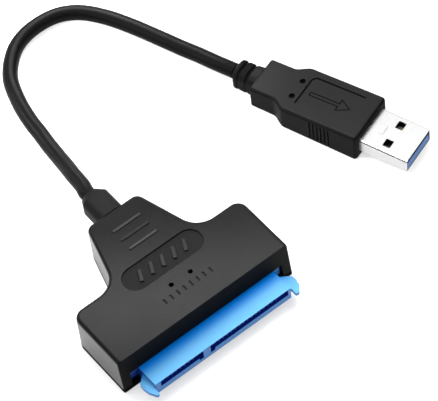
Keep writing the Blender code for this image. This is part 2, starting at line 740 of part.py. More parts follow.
def make_wires(made, parent):
    """Short wires from the boot's inner face down to the board."""
    start_y = BOOT_INNER_Y - GAP
    end_y = BOARD_BACK_Y - WIRE_LANDING
    end_z = BOARD_TOP + GAP + WIRE_DIAMETER / 2
    for index in range(WIRE_COUNT):
        place = index - (WIRE_COUNT - 1) / 2
        start = Vector((place * WIRE_START_PITCH, start_y, BOOT_Z))
        end = Vector((place * WIRE_END_PITCH, end_y, end_z))
        bow = Vector((place * WIRE_START_PITCH, start_y - WIRE_DIAMETER, BOOT_Z))
        landing = Vector((place * WIRE_END_PITCH, end_y + WIRE_LANDING, end_z + WIRE_DIAMETER / 2))
        points = smooth_points([start, bow, landing, end], WIRE_DIAMETER * 1.5)
        make_tube(f"wire_{index + 1}", points, WIRE_DIAMETER, made, parent)


def grip_top(x):
    """Height of the overmould's sloping top at a distance behind its front."""
    return GRIP_HEIGHT - (GRIP_HEIGHT - GRIP_REAR_HEIGHT) * x / REAR_END


def make_overmould(made, parent):
    """Flat grip that narrows to a rear block and a round ribbed tail."""
    sections = []
    arc = 3
    for part in range(arc + 1):
        angle = pi / 2 * part / arc
        inset = GRIP_ROUND * (1 - sin(angle))
        x = GRIP_ROUND * (1 - cos(angle))
        sections.append((x, GRIP_WIDTH / 2 - inset, inset, grip_top(x) - inset, GRIP_ROUND))
    waist = 6
    for part in range(waist + 1):
        share = part / waist
        x = GRIP_LENGTH + (REAR_START - GRIP_LENGTH) * share
        blend = (1 - cos(pi * share)) / 2
        half = (GRIP_WIDTH + (REAR_WIDTH - GRIP_WIDTH) * blend) / 2
        sections.append((x, half, 0.0, grip_top(x), GRIP_ROUND))
    sections.append((REAR_END, REAR_WIDTH / 2, 0.0, grip_top(REAR_END), GRIP_ROUND))
    radius = TAIL_DIAMETER / 2
    places = [(REAR_END, radius)]
    for groove in RING_GROOVES:
        near = REAR_END + groove - RING_WIDTH / 2
        far = near + RING_WIDTH
        places += [(near, radius), (near, radius - RING_DEPTH)]
        places += [(far, radius - RING_DEPTH), (far, radius)]
    places += [(TAIL_END - TAIL_CHAMFER, radius), (TAIL_END, CABLE_DIAMETER / 2)]
    for x, size in places:
        sections.append((x, size, TAIL_Z - size, TAIL_Z + size, size))
    rings = [
        [(-x, w, z) for w, z in rounded_section(half, low, high, corner)]
        for x, half, low, high, corner in sections
    ]
    grip = add_object("plug_overmould", loft("plug_overmould", rings), made, parent)

    pocket_width = SHELL_WIDTH / 2 + SMALL_GAP
    pocket_height = SHELL_HEIGHT / 2 + SMALL_GAP
    pocket = rounded_section(
        pocket_width, SHELL_Z - pocket_height, SHELL_Z + pocket_height, SHELL_ROUND)
    pocket_rings = [[(x, w, z) for w, z in pocket] for x in (-SHELL_SEATED - SMALL_GAP, OVERCUT)]
    combine(grip, loft("plug_pocket", pocket_rings), "DIFFERENCE")

    grooves = []
    for index in range(SIDE_GROOVES):
        x = -SIDE_GROOVE_FIRST - index * SIDE_GROOVE_PITCH
        for side in (-1, 1):
            inner = side * (GRIP_WIDTH / 2 - SIDE_GROOVE_DEPTH)
            outer = side * (GRIP_WIDTH / 2 + OVERCUT)
            low = (x - SIDE_GROOVE_WIDTH / 2, min(inner, outer), SIDE_GROOVE_FOOT)
            high = (x + SIDE_GROOVE_WIDTH / 2, max(inner, outer), SIDE_GROOVE_TOP)
            grooves.append(box_mesh("side_groove", low, high))
    combine(grip, joined("side_grooves", grooves), "DIFFERENCE")

    marks = [
        top_cut("bracket", bracket_outline(), LINE_DEPTH),
        top_cut("arrow", arrow_outline(), LINE_DEPTH),
    ]
    for side in (-1, 1):
        dimple = disc_outline(-DIMPLE_X, side * DIMPLE_SPACING / 2, DIMPLE_DIAMETER / 2)
        marks.append(top_cut("dimple", dimple, DIMPLE_DEPTH))
    combine(grip, joined("plug_marks", marks), "DIFFERENCE")


def top_cut(name, outline, depth):
    """A cutter whose foot lies at one depth below the sloping top."""
    foot = [(x, y, grip_top(-x) - depth) for x, y in outline]
    head = [(x, y, GRIP_HEIGHT + OVERCUT) for x, y in outline]
    return loft(name, [foot, head])


def bracket_outline():
    """A thin line across the grip that turns and runs forward along one side."""
    half = LINE_WIDTH / 2
    outer = rounded_outline([
        (-LINE_BACK - half, -LINE_OTHER_SIDE, 0), (-LINE_BACK + half, -LINE_OTHER_SIDE, 0),
        (-LINE_BACK + half, LINE_SIDE - half, LINE_CORNER - half),
        (-LINE_FRONT, LINE_SIDE - half, 0), (-LINE_FRONT, LINE_SIDE + half, 0),
        (-LINE_BACK - half, LINE_SIDE + half, LINE_CORNER + half),
    ])
    return outer


def arrow_outline():
    """A plain arrow that points to the plug's mouth."""
    shaft = ARROW_SHAFT / 2
    head = ARROW_WIDTH / 2
    return [
        (-ARROW_BACK, -shaft), (-ARROW_HEAD, -shaft), (-ARROW_HEAD, -head), (-ARROW_TIP, 0.0),
        (-ARROW_HEAD, head), (-ARROW_HEAD, shaft), (-ARROW_BACK, shaft),
    ]


def make_plug_shell(made, parent):
    """Metal tube of the plug with its latch windows."""
    low = SHELL_Z - SHELL_HEIGHT / 2
    high = SHELL_Z + SHELL_HEIGHT / 2
    outer = rounded_section(SHELL_WIDTH / 2, low, high, SHELL_ROUND)
    rings = [[(x, w, z) for w, z in outer] for x in (-SHELL_SEATED, SHELL_LENGTH)]
    shell = add_object("plug_shell", loft("plug_shell", rings), made, parent)
    inner = rounded_section(
        SHELL_WIDTH / 2 - SHELL_WALL, low + SHELL_WALL, high - SHELL_WALL,
        SHELL_ROUND - SHELL_WALL)
    ends = (-SHELL_SEATED - OVERCUT, SHELL_LENGTH + OVERCUT)
    combine(shell, loft("shell_bore", [[(x, w, z) for w, z in inner] for x in ends]), "DIFFERENCE")
    windows = []
    for side in (-1, 1):
        middle = side * WINDOW_SPACING / 2
        window_low = (WINDOW_NEAR, middle - WINDOW_WIDTH / 2, low - OVERCUT)
        window_high = (WINDOW_NEAR + WINDOW_LENGTH, middle + WINDOW_WIDTH / 2, high + OVERCUT)
        windows.append(box_mesh("window", window_low, window_high))
    combine(shell, joined("shell_windows", windows), "DIFFERENCE")


def make_plug_insert(made, parent):
    """Blue insert: a block that fills the shell's back and a tongue along its floor."""
    half = SHELL_WIDTH / 2 - SHELL_WALL - SMALL_GAP
    low = SHELL_Z - SHELL_HEIGHT / 2 + SHELL_WALL + SMALL_GAP
    high = SHELL_Z + SHELL_HEIGHT / 2 - SHELL_WALL - SMALL_GAP
    profile = [
        (-SHELL_SEATED, low), (SHELL_LENGTH - TONGUE_INSET, low),
        (SHELL_LENGTH - TONGUE_INSET, low + TONGUE_HEIGHT), (BLOCK_END, low + TONGUE_HEIGHT),
        (BLOCK_END, high), (-SHELL_SEATED, high),
    ]
    rings = [[(x, side * half, z) for x, z in profile] for side in (-1, 1)]
    add_object("plug_insulator", loft("plug_insulator", rings), made, parent, smooth=False)
    return low + TONGUE_HEIGHT


def make_plug_contacts(tongue_top, made, parent):
    """Four long contacts on the tongue and five short ones behind them."""
    rear = [
        (index - (REAR_CONTACT_COUNT - 1) / 2) * REAR_CONTACT_PITCH
        for index in range(REAR_CONTACT_COUNT)
    ]
    sets = (
        ("usb_contact", PLUG_CONTACT_PLACES, PLUG_CONTACT_WIDTH, PLUG_CONTACT_START, PLUG_CONTACT_END),
        ("usb_fast_contact", rear, REAR_CONTACT_WIDTH, REAR_CONTACT_START, REAR_CONTACT_END),
    )
    for label, places, width, start, end in sets:
        foot = tongue_top + SMALL_GAP
        low = (start, -width / 2, foot)
        high = (end, width / 2, foot + PLUG_CONTACT_THICK)
        mesh = box_mesh(label, low, high)
        mesh.materials.append(made)
        for index, place in enumerate(places):
            contact = add_object(f"{label}_{index + 1}", mesh, None, parent, smooth=False)
            contact.location.y = place


def build():
    clear_scene()
    black = make_material("black_plastic", (0.035, 0.035, 0.037), 0.45)
    soft_black = make_material("black_cable", (0.02, 0.02, 0.022), 0.4)
    blue = make_material("sky_blue_plastic", (0.10, 0.45, 0.90), 0.35)
    usb_blue = make_material("usb_blue_plastic", (0.08, 0.22, 0.55), 0.4)
    steel = make_material("plated_steel", (0.85, 0.85, 0.86), 0.25, 1.0)
    gold = make_material("gold_plate", (0.85, 0.62, 0.25), 0.3, 1.0)
    board = make_material("green_board", (0.02, 0.16, 0.06), 0.5)
    chip = make_material("chip_black", (0.02, 0.02, 0.02), 0.55)
    ferrite = make_material("ferrite", (0.08, 0.08, 0.08), 0.7)
    lamp = make_material("lamp_lens", (0.8, 0.85, 0.9), 0.2)
    wire = make_material("wire_red", (0.5, 0.04, 0.03), 0.5)

    adapter = bpy.data.objects.new("adapter", None)
    adapter.location = (0.0, -ORIGIN_Y, 0.0)
    bpy.context.collection.objects.link(adapter)

    make_housing_top(black, adapter)
    make_housing_base(black, adapter)
    make_socket(blue, adapter)
    make_contacts(gold, adapter)
    make_board(board, adapter)
    make_components(chip, steel, ferrite, lamp, adapter)
    make_wires(wire, adapter)
    make_boot(soft_black, adapter)

    heading = Vector((cos(PLUG_HEADING), sin(PLUG_HEADING), 0.0))
    points = cable_points(heading)
    make_tube("cable", points, CABLE_DIAMETER, soft_black, adapter)

    front = points[-1] + heading * (TAIL_END + GAP)
    plug = bpy.data.objects.new("plug", None)
    plug.parent = adapter
    plug.location = (front.x, front.y, 0.0)
    plug.rotation_euler = (0.0, 0.0, PLUG_HEADING)
    bpy.context.collection.objects.link(plug)
    make_overmould(black, plug)
    make_plug_shell(steel, plug)
    tongue_top = make_plug_insert(usb_blue, plug)
    make_plug_contacts(tongue_top, gold, plug)


build()
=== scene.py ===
"""Looks of the USB to SATA adapter: its mouldings, metal, cable and studio.

Metres, in the CAD model's frame. The housing's sizes are measured from the front edge of its roof,
the plug's from the front of its overmould with +X towards its mouth, as in the CAD model.
"""

from math import cos, hypot, pi, radians, sin, tan

import bmesh
import bpy
from mathutils import Matrix, Vector


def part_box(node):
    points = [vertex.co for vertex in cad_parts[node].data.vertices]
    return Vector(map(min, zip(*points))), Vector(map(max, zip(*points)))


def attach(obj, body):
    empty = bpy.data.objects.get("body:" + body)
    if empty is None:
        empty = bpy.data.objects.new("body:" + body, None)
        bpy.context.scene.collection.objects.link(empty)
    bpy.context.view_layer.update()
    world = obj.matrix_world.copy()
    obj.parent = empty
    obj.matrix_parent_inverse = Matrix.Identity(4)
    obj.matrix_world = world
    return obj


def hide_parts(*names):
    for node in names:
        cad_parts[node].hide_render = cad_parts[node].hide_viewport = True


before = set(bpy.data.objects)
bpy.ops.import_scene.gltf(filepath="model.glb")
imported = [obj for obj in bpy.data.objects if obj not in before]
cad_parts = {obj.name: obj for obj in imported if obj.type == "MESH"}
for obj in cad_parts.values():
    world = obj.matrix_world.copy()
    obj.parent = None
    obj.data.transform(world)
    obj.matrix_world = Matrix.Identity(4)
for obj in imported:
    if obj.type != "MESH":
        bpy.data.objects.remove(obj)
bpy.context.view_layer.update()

# Housing
HOUSING_WIDTH = 0.0520
HOUSING_HEIGHT = 0.0120
WING_DEPTH = 0.0186
HOUSING_DEPTH = 0.0368
NECK_BACK_WIDTH = 0.0158
NECK_TAPER = radians(15.9)
FRONT_LEAN = 0.0011
END_LEAN = 0.00015
FRONT_CORNER = 0.0005
WING_CORNER = 0.0030
NECK_FILLET = 0.0062
NECK_CORNER = 0.0023
ROOF_ROUND = 0.0011
WALL = 0.0016
COVER_THICK = 0.0012
PILLAR_DIAMETER = 0.0035
PILLAR_PLACES = ((-0.0190, 0.0125), (0.0190, 0.0125), (0.0, 0.0255))
SEAM = 0.00025
OVERCUT = 0.0020
EDGE_BREAK = 0.00012
ARC_STEP = radians(6)
DISC_POINTS = 32
SECTION_STEPS = 10
SHARP_ANGLE = radians(38)
COVER_BREAK = 0.0002
NEARLY = 0.999
CAVITY_TOP = HOUSING_HEIGHT - WALL

# How far past a face's place its finish may still reach
SLACK = 0.0001
FINE_SLACK = 0.00001

# Roof marks
MARKS_X = 0.0004
PANEL_LENGTH = 0.0236
PANEL_WIDTH = 0.0073
PANEL_Y = 0.0165
PANEL_DEPTH = 0.0004
BAR_COUNT = 5
BAR_PITCH = 0.0034
BAR_SIZE = (0.0010, 0.0036, 0.0005)
BAR_SLANT = radians(-25)
RIB_COUNT = 3
RIB_PITCH = 0.00335
RIB_SIZE = (0.0086, 0.0008, 0.00040)
RIB_FIRST_Y = 0.0243
RIB_ROUND = 0.0003
BAR_ROUND = 0.0001
MARK_SINK = 0.0001
LAMP_HOLE = 0.0013
LAMP_PITCH = 0.00586
LAMP_Y = 0.0093
LAMPS_X = (MARKS_X - LAMP_PITCH / 2, MARKS_X + LAMP_PITCH / 2)
TICK_COUNT = 8
TICK_PITCH = 0.0020
TICK_SIZE = (0.0005, 0.0016, 0.0004)
TICK_Y = 0.00645

# Drive socket
SOCKET_WIDTH = 0.0417
SOCKET_FRONT_Y = -0.0070
SOCKET_BACK_Y = 0.0045
SHOULDER_WIDTH = 0.0464
SHOULDER_Y = 0.0004
SLOT_LIP = 0.0019
SLOT_HEIGHT = 0.0014
SLIT_LOW, SLIT_HIGH = 0.0015, 0.0022
SLIT_INSET = 0.0012
SLOT_DEPTH = 0.0075
REBATE_DEPTH = 0.00025
REBATE_DROP = 0.0001
SLOTS = ((-0.0192, -0.0063), (-0.0041, 0.0200))
KEYS_X = (-0.0076, -0.0041)
KEY_WIDTH = 0.0013
KEY_DEPTH = 0.0008
# Painted shade on the blue: how far ahead of the housing's front its darkening starts and ends
HOUSING_SHADE_FADE = (0.0008, 0.0045)
HOOK_DROP = 0.0010
HOOK_THICK = 0.0010
HOOK_SEAT = 0.0010
LEFT_HOOK_REACH = 0.8
RIGHT_HOOK_TIP = 0.82
HOOK_TIP_FROM = 0.001
HOOK_OUTLINE = (
    (0.0, -0.0051, 0.0003), (0.0029, -0.0031, 0.0008), (0.00305, -0.0017, 0.0012),
    (0.00265, 0.0001, 0.0012), (0.00125, 0.0022, 0.0004), (0.00035, 0.0020, 0.0003),
    (0.00035, -0.0002, 0.0002),
)

# Cable boot
BOOT_WIDTH = 0.0076
BOOT_HEIGHT = 0.0074
BOOT_ROUND = 0.0026
BOOT_LENGTH = 0.0096
BOOT_CHAMFER = 0.0023
BOOT_END_DIAMETER = 0.0048
BOOT_Z = 0.0075
BOOT_THROAT = 0.0046
BOOT_EDGE = 0.0003
BOOT_STANDOFF = 0.00008
NOTCH_WIDTH = 0.0054
NOTCH_HEIGHT = 0.0010
NOTCH_DEPTH = 0.0008
GAP = 0.0003

# Cable route from the boot's end, as x and y from there and z
CABLE_DIAMETER = 0.0042
CABLE_STUB = 0.0015
CABLE_STEP = 0.0010
LYING_Z = CABLE_DIAMETER / 2
TAIL_Z = 0.0034
CABLE_ROUTE = [
    (0.0007, 0.0043, 0.0070), (0.0014, 0.0095, 0.0058), (0.0022, 0.0139, 0.0044),
    (0.0029, 0.0188, 0.0032), (0.0035, 0.0236, 0.0024), (0.0041, 0.0280, LYING_Z),
    (0.0046, 0.0331, LYING_Z), (0.0060, 0.0402, LYING_Z), (0.0090, 0.0484, LYING_Z),
    (0.0143, 0.0545, LYING_Z), (0.0197, 0.0574, LYING_Z), (0.0256, 0.0582, LYING_Z),
    (0.0312, 0.0573, LYING_Z), (0.0361, 0.0541, LYING_Z), (0.0402, 0.0484, LYING_Z),
    (0.0434, 0.0415, LYING_Z), (0.0460, 0.0345, LYING_Z), (0.0487, 0.0267, LYING_Z),
    (0.0506, 0.0210, 0.0025), (0.0522, 0.0151, 0.0031), (0.05404, 0.00954, TAIL_Z),
]

# Plug
PLUG_HEADING = radians(-70.9)
GRIP_WIDTH = 0.0156
GRIP_HEIGHT = 0.0090
GRIP_LENGTH = 0.0216
GRIP_REAR_HEIGHT = 0.0073
GRIP_ROUND = 0.0009
GRIP_BREAK = 0.00009
REAR_WIDTH = 0.0115
REAR_START = 0.0262
REAR_END = 0.0329
REAR_ROUND = 0.0004
WAIST_STEPS = 16
TAIL_WIDTH = 0.0066
TAIL_HEIGHT = 0.0067
TAIL_ROUND = 0.0023
TAIL_FOOT_ROUND = 0.0014
TAIL_LENGTH = 0.0077
TAIL_CHAMFER = 0.0008
TAIL_LIP = (0.0002, 0.00025)
TAIL_SQUARE_TO = 0.0005
TAIL_ROUNDING = 1.3
RING_GROOVES = ((0.0029, 0.0009, 0.0006), (0.0054, 0.0008, 0.0006))
TAIL_RISE = 0.00055
GROOVE_SIDE = 0.3
GROOVE_EASE = 0.00012
GROOVE_RUN = 0.00015
SIDE_GROOVES = 6
SIDE_GROOVE_PITCH = 0.0011
SIDE_GROOVE_FIRST = 0.0081
SIDE_GROOVE_WIDTH = 0.0005
SIDE_GROOVE_DEPTH = 0.0003
SIDE_GROOVE_LEVELS = (0.0010, 0.0074)
LINE_WIDTH = 0.0005
LINE_DEPTH = 0.0003
LINE_BACK = 0.0199
LINE_FRONT = 0.0045
LINE_SIDE = 0.0052
LINE_OTHER_SIDE = 0.0044
LINE_CORNER = 0.0015
ARROW_BACK = 0.0180
ARROW_HEAD = 0.0095
ARROW_TIP = 0.0062
ARROW_SHAFT = 0.0010
ARROW_WIDTH = 0.0036
ARROW_LINE = 0.00032
DIMPLE_DIAMETER = 0.0016
DIMPLE_X = 0.0218
DIMPLE_SPACING = 0.0054
DIMPLE_DEPTH = 0.0009
SHELL_WIDTH = 0.0120
SHELL_HEIGHT = 0.0045
SHELL_LENGTH = 0.0137
SHELL_SEATED = 0.0060
SHELL_WALL = 0.0003
SHELL_ROUND = 0.0006
SHELL_Z = 0.0044
SHELL_LOW, SHELL_HIGH = SHELL_Z - SHELL_HEIGHT / 2, SHELL_Z + SHELL_HEIGHT / 2
SHELL_SNUG = 0.00004
SHELL_BREAK = 0.00003
WINDOW_NEAR = 0.00575
WINDOW_LENGTH = 0.00215
WINDOW_WIDTH = 0.00245
WINDOW_SPACING = 0.0064
WINDOW_ROUND = 0.0002
TONGUE_HEIGHT = 0.0019
TONGUE_INSET = 0.0001
TONGUE_LIP = 0.0005
TONGUE_LIFT = 0.00015
TONGUE_SIDE_GAP = 0.0003
INSERT_PLAY = 0.00005
INSERT_BREAK = 0.0001
BLOCK_END = 0.0015
STAMP_X = 0.0036
STAMP_LENGTH = 0.0014
STAMP_WIDTH = 0.0032
STAMP_LINE = 0.00022
STAMP_DEPTH = 0.00008
FOLD_DROP = 0.00028
FOLD_WIDTH = 0.00022
FOLD_DEPTH = 0.00014

# Camera: fitted to the photograph, whose frame is 438 by 401 pixels
CAMERA_YAW = radians(-32.32)
CAMERA_PITCH = radians(54.11)
CAMERA_ROLL = radians(-7.65)
CAMERA_DISTANCE = 0.6277
CAMERA_TARGET = (0.0263, 0.0285)
FOCAL_PIXELS = 2487
FRAME_PIXELS = 438
SENSOR_WIDTH = 36

# Studio table
FLOOR_HALF = 1.5
FLOOR_THICK = 0.02

# Direction of the room's brightest part
BRIGHT_WAY = (-0.2, 0.8, 0.55)

# Places taken from the frame
FRONT_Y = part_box("housing_base")[0][1] + FRONT_LEAN
BOARD_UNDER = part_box("circuit_board")[0][2]
SOCKET_LOW, SOCKET_HIGH = (corner[2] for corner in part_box("socket_insulator"))
SLOT_FLOOR = SOCKET_LOW + SLOT_LIP


def grey(value):
    return (value,) * 3


# Every finish by its name, filled as they are made
LOOKS = {}

# Moulded plastics: colour, pale flow marks, roughness, grain and its depth, gloss
DARK, DUSK = (0.0027, 0.0027, 0.0029), (0.0052, 0.0052, 0.0055)
PLASTICS = {
    "black_case": (DARK, DUSK, 0.31, 2100.0, 0.000032, 0.06),
    "edge_black": (grey(0.003), grey(0.006), 0.50, 2400.0, 0.00001, 0.05),
    "wall_black": (DARK, DUSK, 0.34, 2400.0, 0.00001, 0.47),
    # Painted shade: the housing's front face is a darker, duller copy of the black
    "front_shade_black": (grey(0.002), grey(0.004), 0.60, 2400.0, 0.00001, 0.06),
    "sunk_black": (grey(0.004), grey(0.007), 0.50, 2400.0, 0.00001, 0.032),
    "bar_black": (grey(0.005), grey(0.009), 0.40, 2400.0, 0.00001, 0.07),
    # Painted shade: the notch, lamp holes, dimples and cut lines are darkened like the shade in
    # them
    "recess_shade_black": (grey(0.001), grey(0.003), 0.60, 2400.0, 0.00001, 0.04),
    # Painted highlight: the outer neck ribs are a lighter, glossier copy of the black
    "crest_highlight_black": (grey(0.005), grey(0.010), 0.40, 2400.0, 0.00001, 0.15),
    "grip_black": (DARK, DUSK, 0.44, 2600.0, 0.000015, 0.18),
    "boot_black": (DARK, DUSK, 0.52, 2600.0, 0.000015, 0.06),
    "grip_side": (grey(0.003), grey(0.005), 0.55, 2600.0, 0.000015, 0.03),
    "usb_blue": ((0.032, 0.125, 0.34), (0.042, 0.145, 0.38), 0.40, 2200.0, 0.00001, 0.25),
    # Painted shade: the insert's faces inside the shell are near-black instead of blue
    "insert_shade_black": ((0.002, 0.003, 0.006), (0.003, 0.004, 0.009), 0.5, 2200.0, 0.00001, 0.1),
}

# Blues of the drive socket: colour at the housing (painted shade, darker where the housing's front
# shades it), colour at the nose, roughness, gloss
BLUES = {
    "sky_top": ((0.001, 0.185, 0.69), (0.074, 0.265, 0.50), 0.36, 0.05),
    # Painted shade: the socket's side faces are a darker copy of the blue
    "sky_side_shade": ((0.005, 0.05, 0.30), (0.045, 0.18, 0.46), 0.40, 0.3),
    # Painted shade: the shoulder's end faces inside the housing's opening are a darker copy of the
    # blue
    "sky_end_shade": ((0.03, 0.17, 0.42), (0.04, 0.21, 0.48), 0.40, 0.3),
    # Painted shade: the insides of the slots are dark navy
    "slot_shade_navy": ((0.001, 0.012, 0.16), (0.001, 0.022, 0.26), 0.5, 0.1),
}

# Plated sheet: roughness and brightness; the shell's side faces are a darker copy, as painted shade
STEELS = {"plated_shell": (0.28, 0.66), "shell_side_shade": (0.38, 0.445), "stamped_steel": (0.38, 0.47)}

# Inner nodes by the start of their names: finish, colour, pale marks, roughness, metallic
INNER_FINISHES = (
    (("signal_contact", "power_contact"), "gold_plate", (0.52, 0.37, 0.15), (0.64, 0.47, 0.22),
     0.30, 1.0),
    # Painted shade: the plug's gold contacts are darkened to a dull dark metal, as if in the
    # shell's shadow
    ("usb_", "shaded_plug_contact", (0.10, 0.08, 0.05), (0.16, 0.13, 0.08), 0.45, 1.0),
    ("circuit_board", "solder_mask", (0.01, 0.11, 0.04), (0.02, 0.16, 0.06), 0.45),
    ("bridge_chip", "chip_case", grey(0.015), grey(0.03), 0.55),
    ("flash_chip", "flash_case", grey(0.015), grey(0.03), 0.5),
    ("voltage_regulator", "regulator_case", grey(0.02), grey(0.03), 0.5),
    ("inductor", "ferrite_case", grey(0.05), grey(0.08), 0.7),
    ("crystal", "crystal_can", (0.7, 0.7, 0.72), (0.8, 0.8, 0.82), 0.3, 1.0),
    ("capacitor", "capacitor_can", (0.6, 0.6, 0.62), (0.7, 0.7, 0.72), 0.35, 1.0),
    ("status_lamp", "lamp_lens", grey(0.004), grey(0.010), 0.5),
    ("wire", "wire_jacket", (0.42, 0.03, 0.02), (0.55, 0.05, 0.03), 0.45),
)


def placed(x, y, z=0.0):
    """A point measured from the roof's front edge, in the frame."""
    return Vector((x, y + FRONT_Y, z))


class Wire:
    """A socket in a material's tree; arithmetic on it adds Math nodes."""

    def __init__(self, finish, socket):
        self.finish = finish
        self.socket = socket

    def maths(self, operation, first, second):
        made = self.finish.node("ShaderNodeMath", {"operation": operation}, {0: first, 1: second})
        return Wire(self.finish, made.outputs[0])

    def __add__(self, other):
        return self.maths("ADD", self, other)

    def __mul__(self, other):
        return self.maths("MULTIPLY", self, other)

    __radd__, __rmul__ = __add__, __mul__


class Finish:
    """One procedural material, built round its Principled shader."""

    def __init__(self, name, **sockets):
        material = LOOKS[name] = bpy.data.materials.new(name)
        material.use_nodes = True
        self.tree = material.node_tree
        self.shader = self.tree.nodes["Principled BSDF"]
        for label, value in sockets.items():
            self.feed(self.shader.inputs[label.replace("_", " ")], value)

    def feed(self, socket, value):
        if isinstance(value, Wire):
            self.tree.links.new(value.socket, socket)
        elif isinstance(value, bpy.types.NodeSocket):
            self.tree.links.new(value, socket)
        else:
            socket.default_value = value

    def node(self, kind, settings=None, sockets=None):
        made = self.tree.nodes.new(kind)
        for label, value in (settings or {}).items():
            setattr(made, label, value)
        for label, value in (sockets or {}).items():
            self.feed(made.inputs[label], value)
        return made

    def place(self, turn=0.0, scale=(1.0, 1.0, 1.0)):
        """Object coordinates, turned and stretched."""
        where = self.node("ShaderNodeTexCoord").outputs["Object"]
        settings = {"Vector": where, "Rotation": (0.0, 0.0, turn), "Scale": scale}
        return self.node("ShaderNodeMapping", None, settings).outputs["Vector"]

    def noise(self, scale, detail=3.0, roughness=0.5, where=None):
        sockets = {"Scale": scale, "Detail": detail, "Roughness": roughness}
        sockets["Vector"] = self.place() if where is None else where
        return Wire(self, self.node("ShaderNodeTexNoise", None, sockets).outputs["Fac"])

    def colour(self, factor, first, second, channel="Base Color"):
        """Two colours mixed by a factor, fed to one of the shader's colours."""
        made = self.node("ShaderNodeMix", {"data_type": "RGBA"}, {"Factor": factor})
        self.feed(made.inputs[6], (*first, 1.0))
        self.feed(made.inputs[7], (*second, 1.0))
        self.feed(self.shader.inputs[channel], made.outputs[2])

    def roughness(self, level, *swings):
        """Roughness about a level; each (noise, swing) moves it by half its swing either way."""
        total = swings[0][0] * swings[0][1]
        for noise, swing in swings[1:]:
            total = total + noise * swing
        foot = level - sum(swing for noise, swing in swings) / 2
        self.feed(self.shader.inputs["Roughness"], total + foot)

    def bump(self, height, distance):
        normal = self.node("ShaderNodeBump", None, {"Height": height, "Distance": distance})
        self.feed(self.shader.inputs["Normal"], normal.outputs["Normal"])


def moulded_plastic(name, colour, pale, roughness, grain, grain_depth, gloss):
    """Injection-moulded plastic with a fine eroded grain and faint flow mottling."""
    finish = Finish(name, IOR=1.5, Specular_IOR_Level=gloss)
    mottle = finish.noise(70.0, 4.0, 0.6)
    fine = finish.noise(grain, 2.0, 0.6)
    finish.colour(mottle, colour, pale)
    finish.roughness(roughness, (mottle, 0.16), (fine, 0.14))
    finish.bump(fine, grain_depth)


def socket_blue(name, deep, bright, roughness, gloss):
    """Smooth blue moulding with painted shade: deeper in colour towards the housing, where the
    housing's front shades it.
    """
    finish = Finish(name, IOR=1.5, Specular_IOR_Level=gloss)
    where = finish.node("ShaderNodeTexCoord").outputs["Object"]
    ahead = finish.node("ShaderNodeSeparateXYZ", None, {"Vector": where}).outputs["Y"]
    mottle = finish.noise(90.0, 3.0, 0.55)
    # Painted shade: the blue's colour darkens towards the housing's front
    share = finish.node("ShaderNodeMapRange", {"interpolation_type": "SMOOTHSTEP"}, {
        "Value": ahead, "From Min": FRONT_Y - HOUSING_SHADE_FADE[0], "From Max": FRONT_Y - HOUSING_SHADE_FADE[1],
    }).outputs["Result"]
    finish.colour(share, deep, bright)
    finish.roughness(roughness, (mottle, 0.12))
    finish.bump(finish.noise(1800.0, 2.0, 0.5), 0.000006)


def cable_jacket():
    """Smooth soft jacket with faint handling streaks."""
    finish = Finish("cable_jacket", IOR=1.5, Specular_IOR_Level=0.045)
    mottle = finish.noise(120.0, 3.0, 0.55)
    fine = finish.noise(2600.0, 2.0, 0.5)
    finish.colour(mottle, grey(0.0006), grey(0.0018))
    finish.roughness(0.46, (mottle, 0.12))
    finish.bump(fine, 0.000012)


def plated_steel(name, roughness, bright):
    """Bright plated sheet with fine rolling lines along the plug."""
    finish = Finish(name, Metallic=1.0)
    lines = finish.noise(1.0, 3.0, 0.6, finish.place(-PLUG_HEADING, (90.0, 5200.0, 5200.0)))
    cloud = finish.noise(160.0, 2.0, 0.5)
    finish.colour(lines, grey(bright * 0.95), grey(bright * 1.03))
    finish.roughness(roughness, (lines, 0.10), (cloud, 0.06))
    finish.bump(lines, 0.0000015)


def plain_finish(name, colour, pale, roughness, metallic=0.0):
    """Small inner pieces: a slightly uneven colour and gloss."""
    finish = Finish(name, Metallic=metallic)
    mottle = finish.noise(400.0, 3.0, 0.6)
    finish.colour(mottle, colour, pale)
    finish.roughness(roughness, (mottle, 0.12))
    finish.bump(mottle, 0.000008)


def finish_mesh(name, shape):
    """Turn a bmesh into a mesh with its faces pointing out."""
    bmesh.ops.recalc_face_normals(shape, faces=shape.faces)
    mesh = bpy.data.meshes.new(name)
    shape.to_mesh(mesh)
    shape.free()
    return mesh


def loft(name, rings):
    """One closed mesh through rings of equal point counts, with flat ends."""
    shape = bmesh.new()
    loops = [[shape.verts.new(point) for point in ring] for ring in rings]
    count = len(loops[0])
    for lower, upper in zip(loops, loops[1:]):
        for index in range(count):
            following = (index + 1) % count
            shape.faces.new((lower[index], lower[following], upper[following], upper[index]))
    shape.faces.new(list(reversed(loops[0])))
    shape.faces.new(loops[-1])
    return finish_mesh(name, shape)


def prism(name, outline, low, high):
    return loft(name, [[(x, y, level) for x, y in outline] for level in (low, high)])


def rectangle(low, high):
    return [(low[0], low[1]), (high[0], low[1]), (high[0], high[1]), (low[0], high[1])]


def box_mesh(name, low, high):
    return prism(name, rectangle(low, high), low[2], high[2])


def joined(name, meshes):
    """Separate closed bodies in one mesh."""
    shape = bmesh.new()
    for mesh in meshes:
        shape.from_mesh(mesh)
        bpy.data.meshes.remove(mesh)
    mesh = bpy.data.meshes.new(name)
    shape.to_mesh(mesh)
    shape.free()
    return mesh


def add_object(name, data):
    """A new object in the scene."""
    made = bpy.data.objects.new(name, data)
    bpy.context.collection.objects.link(made)
    return made


def cut(mesh, tool, operation="DIFFERENCE"):
    """The mesh after one exact Boolean with a tool mesh."""
    body, cutter = add_object("body", mesh), add_object("cutter", tool)
    step = body.modifiers.new("cut", "BOOLEAN")
    step.operation = operation
    step.solver = "EXACT"
    step.object = cutter
    return evaluated(body, [cutter])


